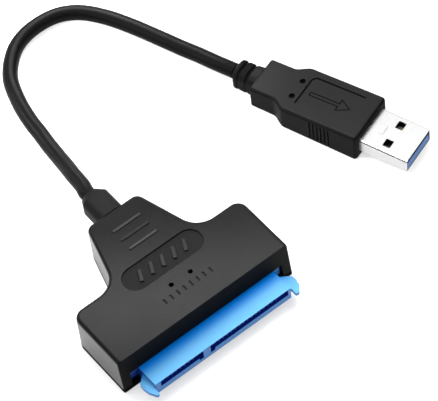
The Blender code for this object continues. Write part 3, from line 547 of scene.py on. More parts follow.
def evaluated(body, spare=()):
    """Apply an object's modifiers, remove it and its tools, and return the new mesh."""
    graph = bpy.context.evaluated_depsgraph_get()
    result = bpy.data.meshes.new_from_object(body.evaluated_get(graph))
    for item in (body, *spare):
        old = item.data
        bpy.data.objects.remove(item, do_unlink=True)
        bpy.data.meshes.remove(old)
    return result


def softened(mesh, width, segments=2):
    """Break the sharp edges, and shade flats flat and rounds round."""
    body = add_object("body", mesh)
    if width > 0:
        step = body.modifiers.new("edges", "BEVEL")
        step.width = width
        step.segments = segments
        step.limit_method = "ANGLE"
        step.angle_limit = SHARP_ANGLE
    mesh.shade_smooth()
    even = body.modifiers.new("even", "WEIGHTED_NORMAL")
    even.weight = 80
    even.keep_sharp = False
    return evaluated(body)


def piece(name, mesh, look, *nodes, others=()):
    """A finished piece on the root body, standing for its CAD nodes.

    Each of the others is a finish's name and a test of a face's centre and normal.
    """
    mesh.name = name
    mesh.materials.clear()
    mesh.materials.append(LOOKS[look])
    for index, (other, belongs) in enumerate(others, 1):
        mesh.materials.append(LOOKS[other])
        for face in mesh.polygons:
            if belongs(face.center, face.normal):
                face.material_index = index
    made = add_object(name, mesh)
    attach(made, "root")
    if nodes:
        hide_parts(*nodes)
    return made


def rounded_outline(corners):
    """Round each (x, y, radius) corner of a polygon that runs anticlockwise."""
    points = []
    for index, (x, y, radius) in enumerate(corners):
        here = Vector((x, y))
        before = Vector(corners[index - 1][:2])
        after = Vector(corners[(index + 1) % len(corners)][:2])
        arriving = (here - before).normalized()
        leaving = (after - here).normalized()
        turn = -arriving.angle_signed(leaving)
        if radius <= 0:
            points.append((x, y))
            continue
        reach = radius * tan(abs(turn) / 2)
        side = 1 if turn > 0 else -1
        centre = here - arriving * reach + Vector((-arriving.y, arriving.x)) * radius * side
        start = (here - arriving * reach) - centre
        steps = max(3, round(abs(turn) / ARC_STEP))
        for part in range(steps + 1):
            points.append(tuple(centre + Matrix.Rotation(turn * part / steps, 2) @ start))
    return points


def inset_corners(corners, insets):
    """Move each edge of an anticlockwise polygon inwards; rounded corners keep their centres."""
    count = len(corners)
    lines = []
    for index in range(count):
        start = Vector(corners[index][:2])
        end = Vector(corners[(index + 1) % count][:2])
        along = (end - start).normalized()
        lines.append((start + Vector((-along.y, along.x)) * insets[index], along))
    moved = []
    for index, corner in enumerate(corners):
        (first, first_way), (second, second_way) = lines[index - 1], lines[index]
        turn = first_way.cross(second_way)
        share = (second - first).cross(second_way) / turn
        place = first + first_way * share
        change = min(insets[index - 1], insets[index])
        radius = corner[2]
        if radius > 0:
            radius = max(radius - change, 0.0001) if turn > 0 else radius + change
        moved.append((place.x, place.y, radius))
    return moved


def housing_corners(level):
    """The housing's T at a height: front edge first, then round the back, anticlockwise."""
    down = 1 - level / HOUSING_HEIGHT
    half = HOUSING_WIDTH / 2 + END_LEAN * down
    front = -FRONT_LEAN * down
    back_half = NECK_BACK_WIDTH / 2
    root_half = back_half + tan(NECK_TAPER) * (HOUSING_DEPTH - WING_DEPTH)
    right = [
        (half, front, FRONT_CORNER), (half, WING_DEPTH, WING_CORNER),
        (root_half, WING_DEPTH, NECK_FILLET), (back_half, HOUSING_DEPTH, NECK_CORNER),
    ]
    left = [(-x, y, radius) for x, y, radius in reversed(right)]
    return [left[-1]] + right + left[:-1]


def housing_ring(level, inset=0.0, front_inset=None):
    corners = housing_corners(level)
    insets = [inset] * len(corners)
    insets[0] = inset if front_inset is None else front_inset
    outline = rounded_outline(inset_corners(corners, insets))
    return [placed(x, y, level) for x, y in outline]


def rounded_rectangle(low, high, radius):
    """An outline between two corner points, with its corners rounded."""
    return rounded_outline([(x, y, radius) for x, y in rectangle(low, high)])


def quarter(radius, steps):
    """Steps round a quarter circle: what is left of the rise, and what is gone of the run."""
    angles = [pi / 2 * part / steps for part in range(steps + 1)]
    return [(radius * (1 - sin(angle)), radius * (1 - cos(angle))) for angle in angles]


def disc_outline(x, y, radius):
    angles = [2 * pi * index / DISC_POINTS for index in range(DISC_POINTS)]
    return [(x + radius * cos(angle), y + radius * sin(angle)) for angle in angles]


def panel_outline():
    """The sunk panel's outline, with round ends."""
    half, end = PANEL_LENGTH / 2, PANEL_WIDTH / 2
    return rounded_rectangle((MARKS_X - half, PANEL_Y - end + FRONT_Y),
                             (MARKS_X + half, PANEL_Y + end + FRONT_Y), end * NEARLY)


def make_upper_housing(tree):
    """Deep upper shell with its rounded roof edge, front opening and roof recesses."""
    levels = [(COVER_THICK + SEAM,)]
    levels += [(HOUSING_HEIGHT - drop, inset, 0.0) for drop, inset in quarter(ROOF_ROUND, 8)]
    mesh = loft("upper_housing", [housing_ring(*level) for level in levels])
    mesh = cut(mesh, loft("hollow", [housing_ring(level, WALL) for level in (0.0, CAVITY_TOP)]))
    half = SHOULDER_WIDTH / 2 + GAP
    throat = BOOT_THROAT / 2 + GAP
    notch_foot = BOOT_Z + BOOT_HEIGHT / 2
    tools = [
        box_mesh("front_slot", placed(-half, -FRONT_LEAN - OVERCUT),
                 placed(half, WALL + OVERCUT, SOCKET_HIGH + GAP)),
        box_mesh("throat", placed(-throat, HOUSING_DEPTH - WALL - OVERCUT, BOOT_Z - throat),
                 placed(throat, HOUSING_DEPTH + OVERCUT, BOOT_Z + throat)),
        box_mesh("notch", placed(-NOTCH_WIDTH / 2, HOUSING_DEPTH - NOTCH_DEPTH, notch_foot),
                 placed(NOTCH_WIDTH / 2, HOUSING_DEPTH + OVERCUT, notch_foot + NOTCH_HEIGHT)),
        prism("panel", panel_outline(), HOUSING_HEIGHT - PANEL_DEPTH, HOUSING_HEIGHT + OVERCUT),
    ]
    for x in LAMPS_X:
        hole = disc_outline(x, LAMP_Y + FRONT_Y, LAMP_HOLE / 2)
        tools.append(prism("lamp_hole", hole, CAVITY_TOP - OVERCUT, HOUSING_HEIGHT + OVERCUT))
    first = MARKS_X - (TICK_COUNT - 1) / 2 * TICK_PITCH
    tools.append(block_row(tree, TICK_COUNT, (TICK_PITCH, 0.0, 0.0),
                           placed(first, TICK_Y, HOUSING_HEIGHT), TICK_SIZE))
    mesh = cut(mesh, joined("tools", tools))

    panel_low = PANEL_Y + FRONT_Y - PANEL_WIDTH / 2
    back = FRONT_Y + HOUSING_DEPTH
    lamps = [placed(x, LAMP_Y) for x in LAMPS_X]

    def in_roof(at):
        return CAVITY_TOP < at.z < HOUSING_HEIGHT - FINE_SLACK

    others = (
        ("edge_black", lambda at, way: way.z < 0.985 and at.z > HOUSING_HEIGHT - ROOF_ROUND * 0.9),
        ("wall_black", lambda at, way: way.z < 0.5 and at.z < HOUSING_HEIGHT - ROOF_ROUND / 2),
        # Painted shade: the front face takes the darker black
        ("front_shade_black", lambda at, way: way.y < -0.5 and at.y < FRONT_Y + WALL / 2),
        # Painted shade in the lamp holes and in the notch under the roof's back edge
        ("recess_shade_black", lambda at, way: at.z > CAVITY_TOP and any(
            hypot(at.x - lamp.x, at.y - lamp.y) < LAMP_HOLE / 2 + 2 * FINE_SLACK
            for lamp in lamps)),
        ("recess_shade_black", lambda at, way: abs(at.x) < NOTCH_WIDTH / 2 + SLACK
         and at.z < HOUSING_HEIGHT - SLACK and back - NOTCH_DEPTH - SLACK < at.y < back - SLACK),
        ("sunk_black", lambda at, way: in_roof(at) and panel_low < at.y < panel_low + PANEL_WIDTH
         and abs(at.x) < PANEL_LENGTH / 2 + abs(MARKS_X)),
        ("sunk_black", lambda at, way: in_roof(at) and abs(at.x) < TICK_COUNT * TICK_PITCH / 2
         and abs(at.y - TICK_Y - FRONT_Y) < TICK_SIZE[1]),
    )
    piece("upper_housing", softened(mesh, EDGE_BREAK), "black_case", "housing_top", others=others)


def make_base_cover():
    """Flat cover under the housing, with the pillars that carry the board."""
    rings = [housing_ring(0.0, COVER_BREAK), housing_ring(COVER_BREAK), housing_ring(COVER_THICK)]
    bodies = [loft("cover", rings)]
    for x, y in PILLAR_PLACES:
        pillar = disc_outline(x, y + FRONT_Y, PILLAR_DIAMETER / 2)
        bodies.append(prism("pillar", pillar, COVER_THICK / 2, BOARD_UNDER - GAP))
    piece("base_cover", softened(joined("base_cover", bodies), 0.0), "black_case", "housing_base")


def row_tree():
    """Geometry nodes: a row of equal blocks at a pitch, turned and given a material."""
    tree = bpy.data.node_groups.new("row_of_blocks", "GeometryNodeTree")
    face = tree.interface
    for label, kind in (
        ("Count", "Int"), ("Pitch", "Vector"), ("Start", "Vector"), ("Size", "Vector"),
        ("Turn", "Float"), ("Finish", "Material"),
    ):
        socket = face.new_socket(label, in_out="INPUT", socket_type="NodeSocket" + kind)
    socket.default_value = LOOKS["crest_highlight_black"]
    face.new_socket("Geometry", in_out="OUTPUT", socket_type="NodeSocketGeometry")
    entry, leave, line, block, turned, spread, real, painted = (tree.nodes.new(kind) for kind in (
        "NodeGroupInput", "NodeGroupOutput", "GeometryNodeMeshLine", "GeometryNodeMeshCube",
        "ShaderNodeCombineXYZ", "GeometryNodeInstanceOnPoints", "GeometryNodeRealizeInstances",
        "GeometryNodeSetMaterial"))
    line.mode = "OFFSET"
    for source, output, target, entrance in (
        (entry, "Count", line, "Count"), (entry, "Start", line, "Start Location"),
        (entry, "Pitch", line, "Offset"), (entry, "Size", block, "Size"),
        (entry, "Turn", turned, "Z"),
        (line, "Mesh", spread, "Points"), (block, "Mesh", spread, "Instance"),
        (turned, "Vector", spread, "Rotation"), (spread, "Instances", real, "Geometry"),
        (real, "Geometry", painted, "Geometry"), (entry, "Finish", painted, "Material"),
        (painted, "Geometry", leave, "Geometry"),
    ):
        tree.links.new(source.outputs[output], target.inputs[entrance])
    return tree


def block_row(tree, count, pitch, start, size, turn=0.0):
    """The mesh of one row of blocks from the tree."""
    carrier = add_object("carrier", bpy.data.meshes.new("carrier"))
    grow = carrier.modifiers.new("row", "NODES")
    grow.node_group = tree
    values = {"Count": count, "Pitch": pitch, "Start": start, "Size": size, "Turn": turn}
    for item in tree.interface.items_tree:
        if item.name in values:
            grow[item.identifier] = values[item.name]
    return evaluated(carrier)


def make_roof_marks(tree):
    """Raised ribs on the neck and slanted bars in the recess."""
    rib_level = HOUSING_HEIGHT + RIB_SIZE[2] / 2 - MARK_SINK
    ribs = block_row(tree, RIB_COUNT, (0.0, RIB_PITCH, 0.0),
                     placed(MARKS_X, RIB_FIRST_Y, rib_level), RIB_SIZE)
    middle = FRONT_Y + RIB_FIRST_Y + RIB_PITCH
    # The outer ribs carry a painted highlight; the middle one takes the bars' black
    piece("neck_ribs", softened(ribs, RIB_ROUND, segments=4), "crest_highlight_black",
          others=(("bar_black", lambda at, way: abs(at.y - middle) < RIB_PITCH / 2),))
    bar_level = HOUSING_HEIGHT - PANEL_DEPTH + BAR_SIZE[2] / 2 - MARK_SINK
    first = MARKS_X - (BAR_COUNT - 1) / 2 * BAR_PITCH
    bars = block_row(tree, BAR_COUNT, (BAR_PITCH, 0.0, 0.0), placed(first, PANEL_Y, bar_level),
                     BAR_SIZE, BAR_SLANT)
    piece("panel_bars", softened(bars, BAR_ROUND), "bar_black")


def make_drive_socket():
    """Blue moulding: nose with two keyed slots, a shoulder and two guide hooks."""
    half = SOCKET_WIDTH / 2
    wide = SHOULDER_WIDTH / 2
    outline = [
        (-half, SOCKET_FRONT_Y), (half, SOCKET_FRONT_Y), (half, SHOULDER_Y), (wide, SHOULDER_Y),
        (wide, SOCKET_BACK_Y), (-wide, SOCKET_BACK_Y), (-wide, SHOULDER_Y), (-half, SHOULDER_Y),
    ]
    mesh = prism("socket", [placed(x, y)[:2] for x, y in outline], SOCKET_LOW, SOCKET_HIGH)
    hook_top = SOCKET_HIGH - HOOK_DROP
    hooks = []
    for side, reach, tip in ((-1, LEFT_HOOK_REACH, 1.0), (1, 1.0, RIGHT_HOOK_TIP)):
        corners = []
        for out, on, radius in HOOK_OUTLINE:
            on *= tip if on > HOOK_TIP_FROM else 1.0
            corners.append((half + out * reach, SOCKET_FRONT_Y - on, radius))
        corners += [(half - HOOK_SEAT, corners[-1][1], 0), (half - HOOK_SEAT, corners[0][1], 0)]
        corners = [(x, y + FRONT_Y, radius) for x, y, radius in reversed(corners)]
        rounded = [(x * side, y) for x, y in rounded_outline(corners)]
        hooks.append(prism("hook", rounded, hook_top - HOOK_THICK, hook_top))
    mesh = cut(mesh, joined("hooks", hooks), "UNION")
    back = SOCKET_FRONT_Y + SLOT_DEPTH
    ahead = SOCKET_FRONT_Y - OVERCUT
    slot_top = SLOT_FLOOR + SLOT_HEIGHT
    for (start, end), key_x in zip(SLOTS, KEYS_X):
        for name, low, high in (
            ("slot", (start, ahead, SLOT_FLOOR), (end, back, slot_top)),
            ("rebate", (start, ahead, slot_top - 2 * FINE_SLACK),
             (end, SOCKET_FRONT_Y + REBATE_DEPTH, SOCKET_HIGH - REBATE_DROP)),
            ("key", (key_x, ahead - GAP, SLOT_FLOOR - KEY_DEPTH),
             (key_x + KEY_WIDTH, back - GAP, SLOT_FLOOR + SLOT_HEIGHT / 2)),
            ("slit", (start + SLIT_INSET, back - GAP * 2, SOCKET_LOW + SLIT_LOW),
             (end - SLIT_INSET, SOCKET_BACK_Y + OVERCUT, SOCKET_LOW + SLIT_HIGH)),
        ):
            mesh = cut(mesh, box_mesh(name, placed(*low), placed(*high)))

    nose = SOCKET_FRONT_Y + FRONT_Y
    others = (
        # Painted shade: side faces take the darker blue
        ("sky_side_shade", lambda at, way: way.z < 0.55),
        # Painted shade: the shoulder's end faces take the darker blue
        ("sky_end_shade", lambda at, way: way.y < -0.5 and at.x > half + 2 * SLACK and at.y > FRONT_Y),
        # Painted shade: the slots' insides take the dark navy
        ("slot_shade_navy", lambda at, way: abs(at.x) < half - 5 * SLACK
         and SLOT_FLOOR - KEY_DEPTH - 2 * SLACK < at.z < SOCKET_HIGH - REBATE_DROP / 2
         and nose + SLACK < at.y < nose + SLOT_DEPTH + 2 * SLACK),
    )
    piece("drive_socket", softened(mesh, EDGE_BREAK), "sky_top", "socket_insulator", others=others)


def rounded_section(half_width, low, high, radius, foot_radius=None):
    """Points of a rounded rectangle, always as many, so sections can be lofted together."""
    half_height = (high - low) / 2
    middle = (low + high) / 2
    points = []
    for corner in range(4):
        side = 1 if corner in (0, 3) else -1
        lift = 1 if corner in (0, 1) else -1
        wanted = radius if lift > 0 or foot_radius is None else foot_radius
        turn = min(wanted, half_width * NEARLY, half_height * NEARLY)
        across = side * (half_width - turn)
        upright = middle + lift * (half_height - turn)
        for part in range(SECTION_STEPS + 1):
            angle = pi / 2 * (corner + part / SECTION_STEPS)
            points.append((across + turn * cos(angle), upright + turn * sin(angle)))
    return points


def make_boot():
    """Cable boot: throat in the housing's wall, rounded body, and an end with its own finish."""
    wide, tall = BOOT_WIDTH / 2, BOOT_HEIGHT / 2
    throat, end = BOOT_THROAT / 2, BOOT_END_DIAMETER / 2
    face = HOUSING_DEPTH + BOOT_STANDOFF
    finish = HOUSING_DEPTH + BOOT_LENGTH
    chamfer = finish - BOOT_CHAMFER
    turn = BOOT_EDGE
    sections = [(HOUSING_DEPTH - WALL, throat, throat, turn), (face, throat, throat, turn)]
    sections += [(face + run, wide - inset, tall - inset, BOOT_ROUND)
                 for inset, run in quarter(turn, 3)]
    sections += [
        (chamfer - turn / 2, wide, tall, BOOT_ROUND),
        (chamfer, wide - turn / 8, tall - turn / 8, BOOT_ROUND),
        (chamfer + turn / 2, wide - turn / 2, tall - turn / 2, BOOT_ROUND),
        (finish - turn / 2, end + turn, end + turn * 0.9, end + turn * 0.9),
        (finish - turn / 6, end + turn / 3, end + turn / 3, end + turn / 3),
        (finish, end, end, end),
    ]
    rings = []
    for y, half_width, half_height, radius in sections:
        section = rounded_section(half_width, BOOT_Z - half_height, BOOT_Z + half_height, radius)
        rings.append([placed(-x, y, z) for x, z in section])
    piece("boot", softened(loft("boot", rings), 0.0), "boot_black", "cable_boot",
          others=(("grip_side", lambda at, way: way.y > 0.2),))


def smooth_points(route, step):
    """Points at an even spacing along a smooth curve through the route's own points."""
    ends = [route[0] * 2 - route[1]] + route + [route[-1] * 2 - route[-2]]
    fine = []
    for a, b, c, d in zip(ends, ends[1:], ends[2:], ends[3:]):
        for part in range(20):
            t = part / 20
            fine.append(0.5 * (2 * b + (c - a) * t + (2 * a - 5 * b + 4 * c - d) * t ** 2
                               + (3 * b - a - 3 * c + d) * t ** 3))
    fine.append(route[-1])
    lengths = [0.0]
    for before, after in zip(fine, fine[1:]):
        lengths.append(lengths[-1] + (after - before).length)
    count = round(lengths[-1] / step)
    points = []
    cursor = 0
    for index in range(count + 1):
        target = lengths[-1] * index / count
        while lengths[cursor + 1] < target and cursor < len(fine) - 2:
            cursor += 1
        share = (target - lengths[cursor]) / (lengths[cursor + 1] - lengths[cursor])
        points.append(fine[cursor].lerp(fine[cursor + 1], share))
    return points


def cable_points():
    """The cable's centreline, square to the boot's end and to the plug's tail."""
    heading = Vector((cos(PLUG_HEADING), sin(PLUG_HEADING), 0.0))
    exit_y = HOUSING_DEPTH + BOOT_LENGTH
    start = placed(0.0, exit_y + GAP, BOOT_Z)
    route = [placed(x, y + exit_y, z) for x, y, z in CABLE_ROUTE]
    end = route[-1]
    route = [start + Vector((0.0, CABLE_STUB, 0.0))] + route[:-1] + [end - heading * CABLE_STUB]
    points = [start] + smooth_points(route, CABLE_STEP) + [end]
    for point in points:
        point.z = max(point.z, LYING_Z)
    return points, heading


def make_cable(points):
    """The cable as a curve with a round section."""
    curve = bpy.data.curves.new("cable_line", "CURVE")
    curve.dimensions = "3D"
    curve.bevel_depth = CABLE_DIAMETER / 2
    curve.bevel_resolution = 8
    curve.use_fill_caps = True
    spline = curve.splines.new("POLY")
    spline.points.add(len(points) - 1)
    for slot, point in zip(spline.points, points):
        slot.co = (*point, 1.0)
    spline.use_smooth = True
    curve.materials.append(LOOKS["cable_jacket"])
    cord = add_object("cable_cord", curve)
    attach(cord, "root")
    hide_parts("cable")
    return cord


def grip_top(x):
    """Height of the overmould's sloping top at a distance behind its front."""
    return GRIP_HEIGHT - (GRIP_HEIGHT - GRIP_REAR_HEIGHT) * x / REAR_END


def side_cut(name, side, wall, depth, along, levels):
    """A cutter as deep as asked into one side wall, given the wall's distance from the middle."""
    near, far = sorted((side * (wall - depth), side * (wall + OVERCUT)))
    return box_mesh(name, (along[0], near, levels[0]), (along[1], far, levels[1]))


def shell_tube(name, margin, radius, start, end):
    """The metal shell's section, grown by a margin, along the plug."""
    section = rounded_section(SHELL_WIDTH / 2 + margin, SHELL_LOW - margin, SHELL_HIGH + margin,
                              radius)
    return loft(name, [[(x, across, up) for across, up in section] for x in (start, end)])


def plug_piece(name, mesh, to_world, look, node, others):
    """A piece that is painted in the plug's own places and then moved to where it lies."""
    made = piece(name, mesh, look, node, others=others)
    mesh.transform(to_world)
    return made


def tail_sections():
    """The tail's sections: two grooves in its upper side, then a chamfer down to the cable."""
    places = [(REAR_END, 0.0, 0.0)]
    for middle, width, depth in RING_GROOVES:
        near = REAR_END + middle - width / 2
        far = near + width
        places += [(near - GROOVE_RUN, 0.0, 0.0), (near, 0.0, GROOVE_EASE),
                   (near + GROOVE_EASE, 0.0, depth), (far - GROOVE_EASE, 0.0, depth),
                   (far, 0.0, GROOVE_EASE), (far + GROOVE_RUN, 0.0, 0.0)]
    end = REAR_END + TAIL_LENGTH
    chamfer = end - TAIL_CHAMFER
    cable_inset = (TAIL_WIDTH - CABLE_DIAMETER) / 2
    places += [(chamfer - 2 * GROOVE_RUN, 0.0, 0.0), (chamfer, GROOVE_EASE, 0.0),
               (end - TAIL_LIP[0], cable_inset - TAIL_LIP[1], 0.0), (end, cable_inset, 0.0)]
    sections = []
    for x, inset, groove in places:
        wide, tall = TAIL_WIDTH / 2 - inset - groove * GROOVE_SIDE, TAIL_HEIGHT / 2 - inset
        rounder = TAIL_ROUNDING * max(0.0, inset - TAIL_SQUARE_TO)
        corners = [min(corner + rounder, wide) for corner in (TAIL_ROUND, TAIL_FOOT_ROUND)]
        rise = TAIL_RISE * max(0.0, 1 - (x - REAR_END) / RING_GROOVES[0][0])
        sections.append((x, wide, TAIL_Z - tall, TAIL_Z + tall + rise - groove, *corners))
    return sections


def make_overmould(to_world):
    """Flat grip that narrows to a rear block and a round ribbed tail."""
    body = [(x, GRIP_WIDTH / 2 - inset, inset, grip_top(x) - inset)
            for inset, x in quarter(GRIP_ROUND, 6)]
    for part in range(WAIST_STEPS + 1):
        share = part / WAIST_STEPS
        x = GRIP_LENGTH + (REAR_START - GRIP_LENGTH) * share
        blend = (1 - cos(pi * share)) / 2
        half = (GRIP_WIDTH + (REAR_WIDTH - GRIP_WIDTH) * blend) / 2
        body.append((x, half, 0.0, grip_top(x)))
    for left, inset in quarter(REAR_ROUND, 4):
        x = REAR_END - left
        body.append((x, REAR_WIDTH / 2 - inset, inset / 4, grip_top(x) - inset / 4))
    sections = [(*section, GRIP_ROUND, GRIP_ROUND) for section in body] + tail_sections()
    rings = [[(-x, w, z) for w, z in rounded_section(*section)] for x, *section in sections]
    tools = [shell_tube("pocket", SHELL_SNUG, SHELL_ROUND, -SHELL_SEATED - GAP, OVERCUT)]
    for index in range(SIDE_GROOVES):
        x = -SIDE_GROOVE_FIRST - index * SIDE_GROOVE_PITCH
        along = (x - SIDE_GROOVE_WIDTH / 2, x + SIDE_GROOVE_WIDTH / 2)
        for side in (-1, 1):
            tools.append(side_cut("groove", side, GRIP_WIDTH / 2, SIDE_GROOVE_DEPTH, along,
                                  SIDE_GROOVE_LEVELS))
    mesh = cut(loft("overmould", rings), joined("tools", tools))
    arrow = top_cut("arrow", arrow_outline(ARROW_LINE / 2), LINE_DEPTH)
    arrow = cut(arrow, top_cut("arrow_core", arrow_outline(-ARROW_LINE / 2), LINE_DEPTH * 2))
    marks = [top_cut("bracket", bracket_outline(), LINE_DEPTH), arrow]
    for side in (-1, 1):
        dimple = disc_outline(-DIMPLE_X, side * DIMPLE_SPACING / 2, DIMPLE_DIAMETER / 2)
        marks.append(top_cut("dimple", dimple, DIMPLE_DEPTH))
    mesh = softened(cut(mesh, joined("marks", marks)), GRIP_BREAK)

    def sunk(at, way, depth):
        """Below the sloping top, but no deeper than asked."""
        top = grip_top(-at.x)
        return top - depth < at.z < top - 4 * FINE_SLACK and way.z > -0.2

    others = (
        ("boot_black", lambda at, way: at.x < -REAR_END or way.x < -0.1),
        ("grip_side", lambda at, way: at.x < -REAR_END - RING_GROOVES[0][0]
         or way.z < (0.94 if at.x > -REAR_END + SLACK else 0.75)),
        # Painted shade in the dimples and the cut line
        ("recess_shade_black", lambda at, way: sunk(at, way, DIMPLE_DEPTH + SLACK)
         and abs(at.y) < LINE_SIDE + LINE_WIDTH
         and -DIMPLE_X - DIMPLE_DIAMETER < at.x < -LINE_FRONT + 2 * SLACK),
        ("sunk_black", lambda at, way: sunk(at, way, LINE_DEPTH * 1.5)
         and abs(at.y) < ARROW_WIDTH / 2 + ARROW_LINE
         and -ARROW_BACK - ARROW_LINE < at.x < -ARROW_TIP + ARROW_LINE),
    )
    return plug_piece("plug_grip", mesh, to_world, "grip_black", "plug_overmould", others)


def top_cut(name, outline, depth):
    """A cutter whose foot lies at one depth below the sloping top."""
    foot = [(x, y, grip_top(-x) - depth) for x, y in outline]
    head = [(x, y, GRIP_HEIGHT + OVERCUT) for x, y in outline]
    return loft(name, [foot, head])


def bracket_outline():
    """A thin line across the grip that turns and runs forward along one side."""
    half = LINE_WIDTH / 2
    return rounded_outline([
        (-LINE_BACK - half, -LINE_OTHER_SIDE, 0), (-LINE_BACK + half, -LINE_OTHER_SIDE, 0),
        (-LINE_BACK + half, LINE_SIDE - half, LINE_CORNER - half),
        (-LINE_FRONT, LINE_SIDE - half, 0), (-LINE_FRONT, LINE_SIDE + half, 0),
        (-LINE_BACK - half, LINE_SIDE + half, LINE_CORNER + half),
    ])


def arrow_outline(margin):
    """A plain arrow that points to the plug's mouth."""
    shaft = ARROW_SHAFT / 2
    head = ARROW_WIDTH / 2
    corners = [
        (-ARROW_BACK, -shaft, 0), (-ARROW_HEAD, -shaft, 0), (-ARROW_HEAD, -head, 0),
        (-ARROW_TIP, 0.0, 0), (-ARROW_HEAD, head, 0), (-ARROW_HEAD, shaft, 0),
        (-ARROW_BACK, shaft, 0),
    ]
    return [(x, y) for x, y, _ in inset_corners(corners, [-margin] * len(corners))]


def make_plug_shell(to_world):
    """Folded metal tube with latch windows and a faint stamped mark."""
    ends = (-SHELL_SEATED - OVERCUT, SHELL_LENGTH + OVERCUT)
    mesh = cut(shell_tube("shell", 0.0, SHELL_ROUND, -SHELL_SEATED, SHELL_LENGTH),
               shell_tube("bore", -SHELL_WALL, SHELL_ROUND - SHELL_WALL, *ends))
    tools = []
    for side in (-1, 1):
        middle = side * WINDOW_SPACING / 2
        window = rounded_rectangle((WINDOW_NEAR, middle - WINDOW_WIDTH / 2),
                                   (WINDOW_NEAR + WINDOW_LENGTH, middle + WINDOW_WIDTH / 2),
                                   WINDOW_ROUND)
        tools.append(prism("window", window, SHELL_LOW - OVERCUT, SHELL_HIGH + OVERCUT))
    tools.append(stamp_mesh())
    edge = SHELL_WIDTH / 2
    fold = SHELL_HIGH - FOLD_DROP
    for side in (-1, 1):
        tools.append(side_cut("fold", side, edge, FOLD_DEPTH, ends, (fold - FOLD_WIDTH, fold)))
    mesh = softened(cut(mesh, joined("tools", tools)), SHELL_BREAK)
    mouth = SHELL_LENGTH - SLACK
    others = (
        # Painted shade: the side faces take the darker steel
        ("shell_side_shade", lambda at, way: abs(way.y) > 0.5 and abs(at.y) > edge - SHELL_WALL / 2),
        ("stamped_steel", lambda at, way: at.x < WINDOW_NEAR - 5 * SLACK
         and SHELL_HIGH - STAMP_DEPTH * 1.5 < at.z < SHELL_HIGH - STAMP_DEPTH / 4
         and abs(at.y) < STAMP_WIDTH / 2 + SLACK),
        ("shell_shade", lambda at, way: edge - FOLD_DEPTH * 1.3 < abs(at.y) < edge - FOLD_DEPTH / 4
         and fold - FOLD_WIDTH - 3 * FINE_SLACK < at.z < fold + 3 * FINE_SLACK and at.x < mouth),
        ("shell_shade", lambda at, way: abs(at.y) < edge - SHELL_WALL / 2 and at.x < mouth
         and SHELL_LOW + SHELL_WALL / 2 < at.z < SHELL_HIGH - SHELL_WALL / 2),
    )
    return plug_piece("metal_shell", mesh, to_world, "plated_shell", "plug_shell", others)


def stamp_mesh():
    """A shallow open bow stamped in the shell's top."""
    half = STAMP_WIDTH / 2
    near, far = STAMP_X - STAMP_LENGTH / 2, STAMP_X + STAMP_LENGTH / 2
    line = STAMP_LINE
    outline = rounded_outline([
        (near, -half, 0), (far, -half, 0.0005), (far, half, 0.0005), (near, half, 0),
        (near, half - line, 0), (far - line, half - line, 0.0003),
        (far - line, -half + line, 0.0003), (near, -half + line, 0),
    ])
    return prism("stamp", outline, SHELL_HIGH - STAMP_DEPTH, SHELL_HIGH + OVERCUT)


def make_insert(to_world):
    """Blue insert: a block in the shell's back and a tongue with a raised front lip; all but the
    tongue's front end is near-black, as painted shade inside the shell.
    """
    half = SHELL_WIDTH / 2 - SHELL_WALL - TONGUE_SIDE_GAP
    low = SHELL_LOW + SHELL_WALL + INSERT_PLAY
    high = SHELL_HIGH - SHELL_WALL - INSERT_PLAY
    front = SHELL_LENGTH - TONGUE_INSET
    top = low + TONGUE_LIFT + TONGUE_HEIGHT
    profile = [
        (-SHELL_SEATED, low), (front, low), (front, top + TONGUE_LIP),
        (front - TONGUE_LIP, top + TONGUE_LIP), (front - TONGUE_LIP, top),
        (BLOCK_END, top), (BLOCK_END, high), (-SHELL_SEATED, high),
    ]
    mesh = loft("insert", [[(x, side * half, z) for x, z in profile] for side in (-1, 1)])
    # Painted shade: every face but the tongue's front end is near-black
    others = (("insert_shade_black", lambda at, way: at.x < front - TONGUE_LIFT),)
    return plug_piece("plug_insert", softened(mesh, INSERT_BREAK), to_world, "usb_blue",
                      "plug_insulator", others)


def dress_nodes():
    """Give every CAD node that stays in view its finish."""
    for start, name, *values in INNER_FINISHES:
        plain_finish(name, *values)
        for node_name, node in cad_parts.items():
            if node_name.startswith(start):
                node.data.materials.clear()
                node.data.materials.append(LOOKS[name])


def make_camera():
    """Camera at the photograph's viewing angle."""
    flat = Vector((-sin(CAMERA_YAW), cos(CAMERA_YAW), 0.0))
    forward = flat * cos(CAMERA_PITCH) - Vector((0.0, 0.0, sin(CAMERA_PITCH)))
    level = Vector((cos(CAMERA_YAW), sin(CAMERA_YAW), 0.0))
    lifted = level.cross(forward)
    across = level * cos(CAMERA_ROLL) + lifted * sin(CAMERA_ROLL)
    upward = lifted * cos(CAMERA_ROLL) - level * sin(CAMERA_ROLL)
    place = placed(*CAMERA_TARGET) - forward * CAMERA_DISTANCE
    data = bpy.data.cameras.new("photo_camera")
    data.sensor_width = SENSOR_WIDTH
    data.lens = FOCAL_PIXELS / FRAME_PIXELS * SENSOR_WIDTH
    data.clip_start = 0.01
    camera = add_object("photo_camera", data)
    turn = Matrix((across, upward, -forward)).transposed().to_4x4()
    camera.matrix_world = Matrix.Translation(place) @ turn
    bpy.context.scene.camera = camera


def make_lamp(name, place, aim, size, power, mirrored=True, spread=180.0):
    """Area lamp with a beam's spread in degrees; one that isn't mirrored adds no highlights."""
    data = bpy.data.lights.new(name, "AREA")
    data.shape = "RECTANGLE"
    data.size, data.size_y = size
    data.energy = power
    data.spread = radians(spread)
    lamp = add_object(name, data)
    lamp.location = place
    lamp.rotation_euler = (Vector(aim) - Vector(place)).to_track_quat("-Z", "Y").to_euler()
    lamp.visible_camera = False
    lamp.visible_glossy = mirrored


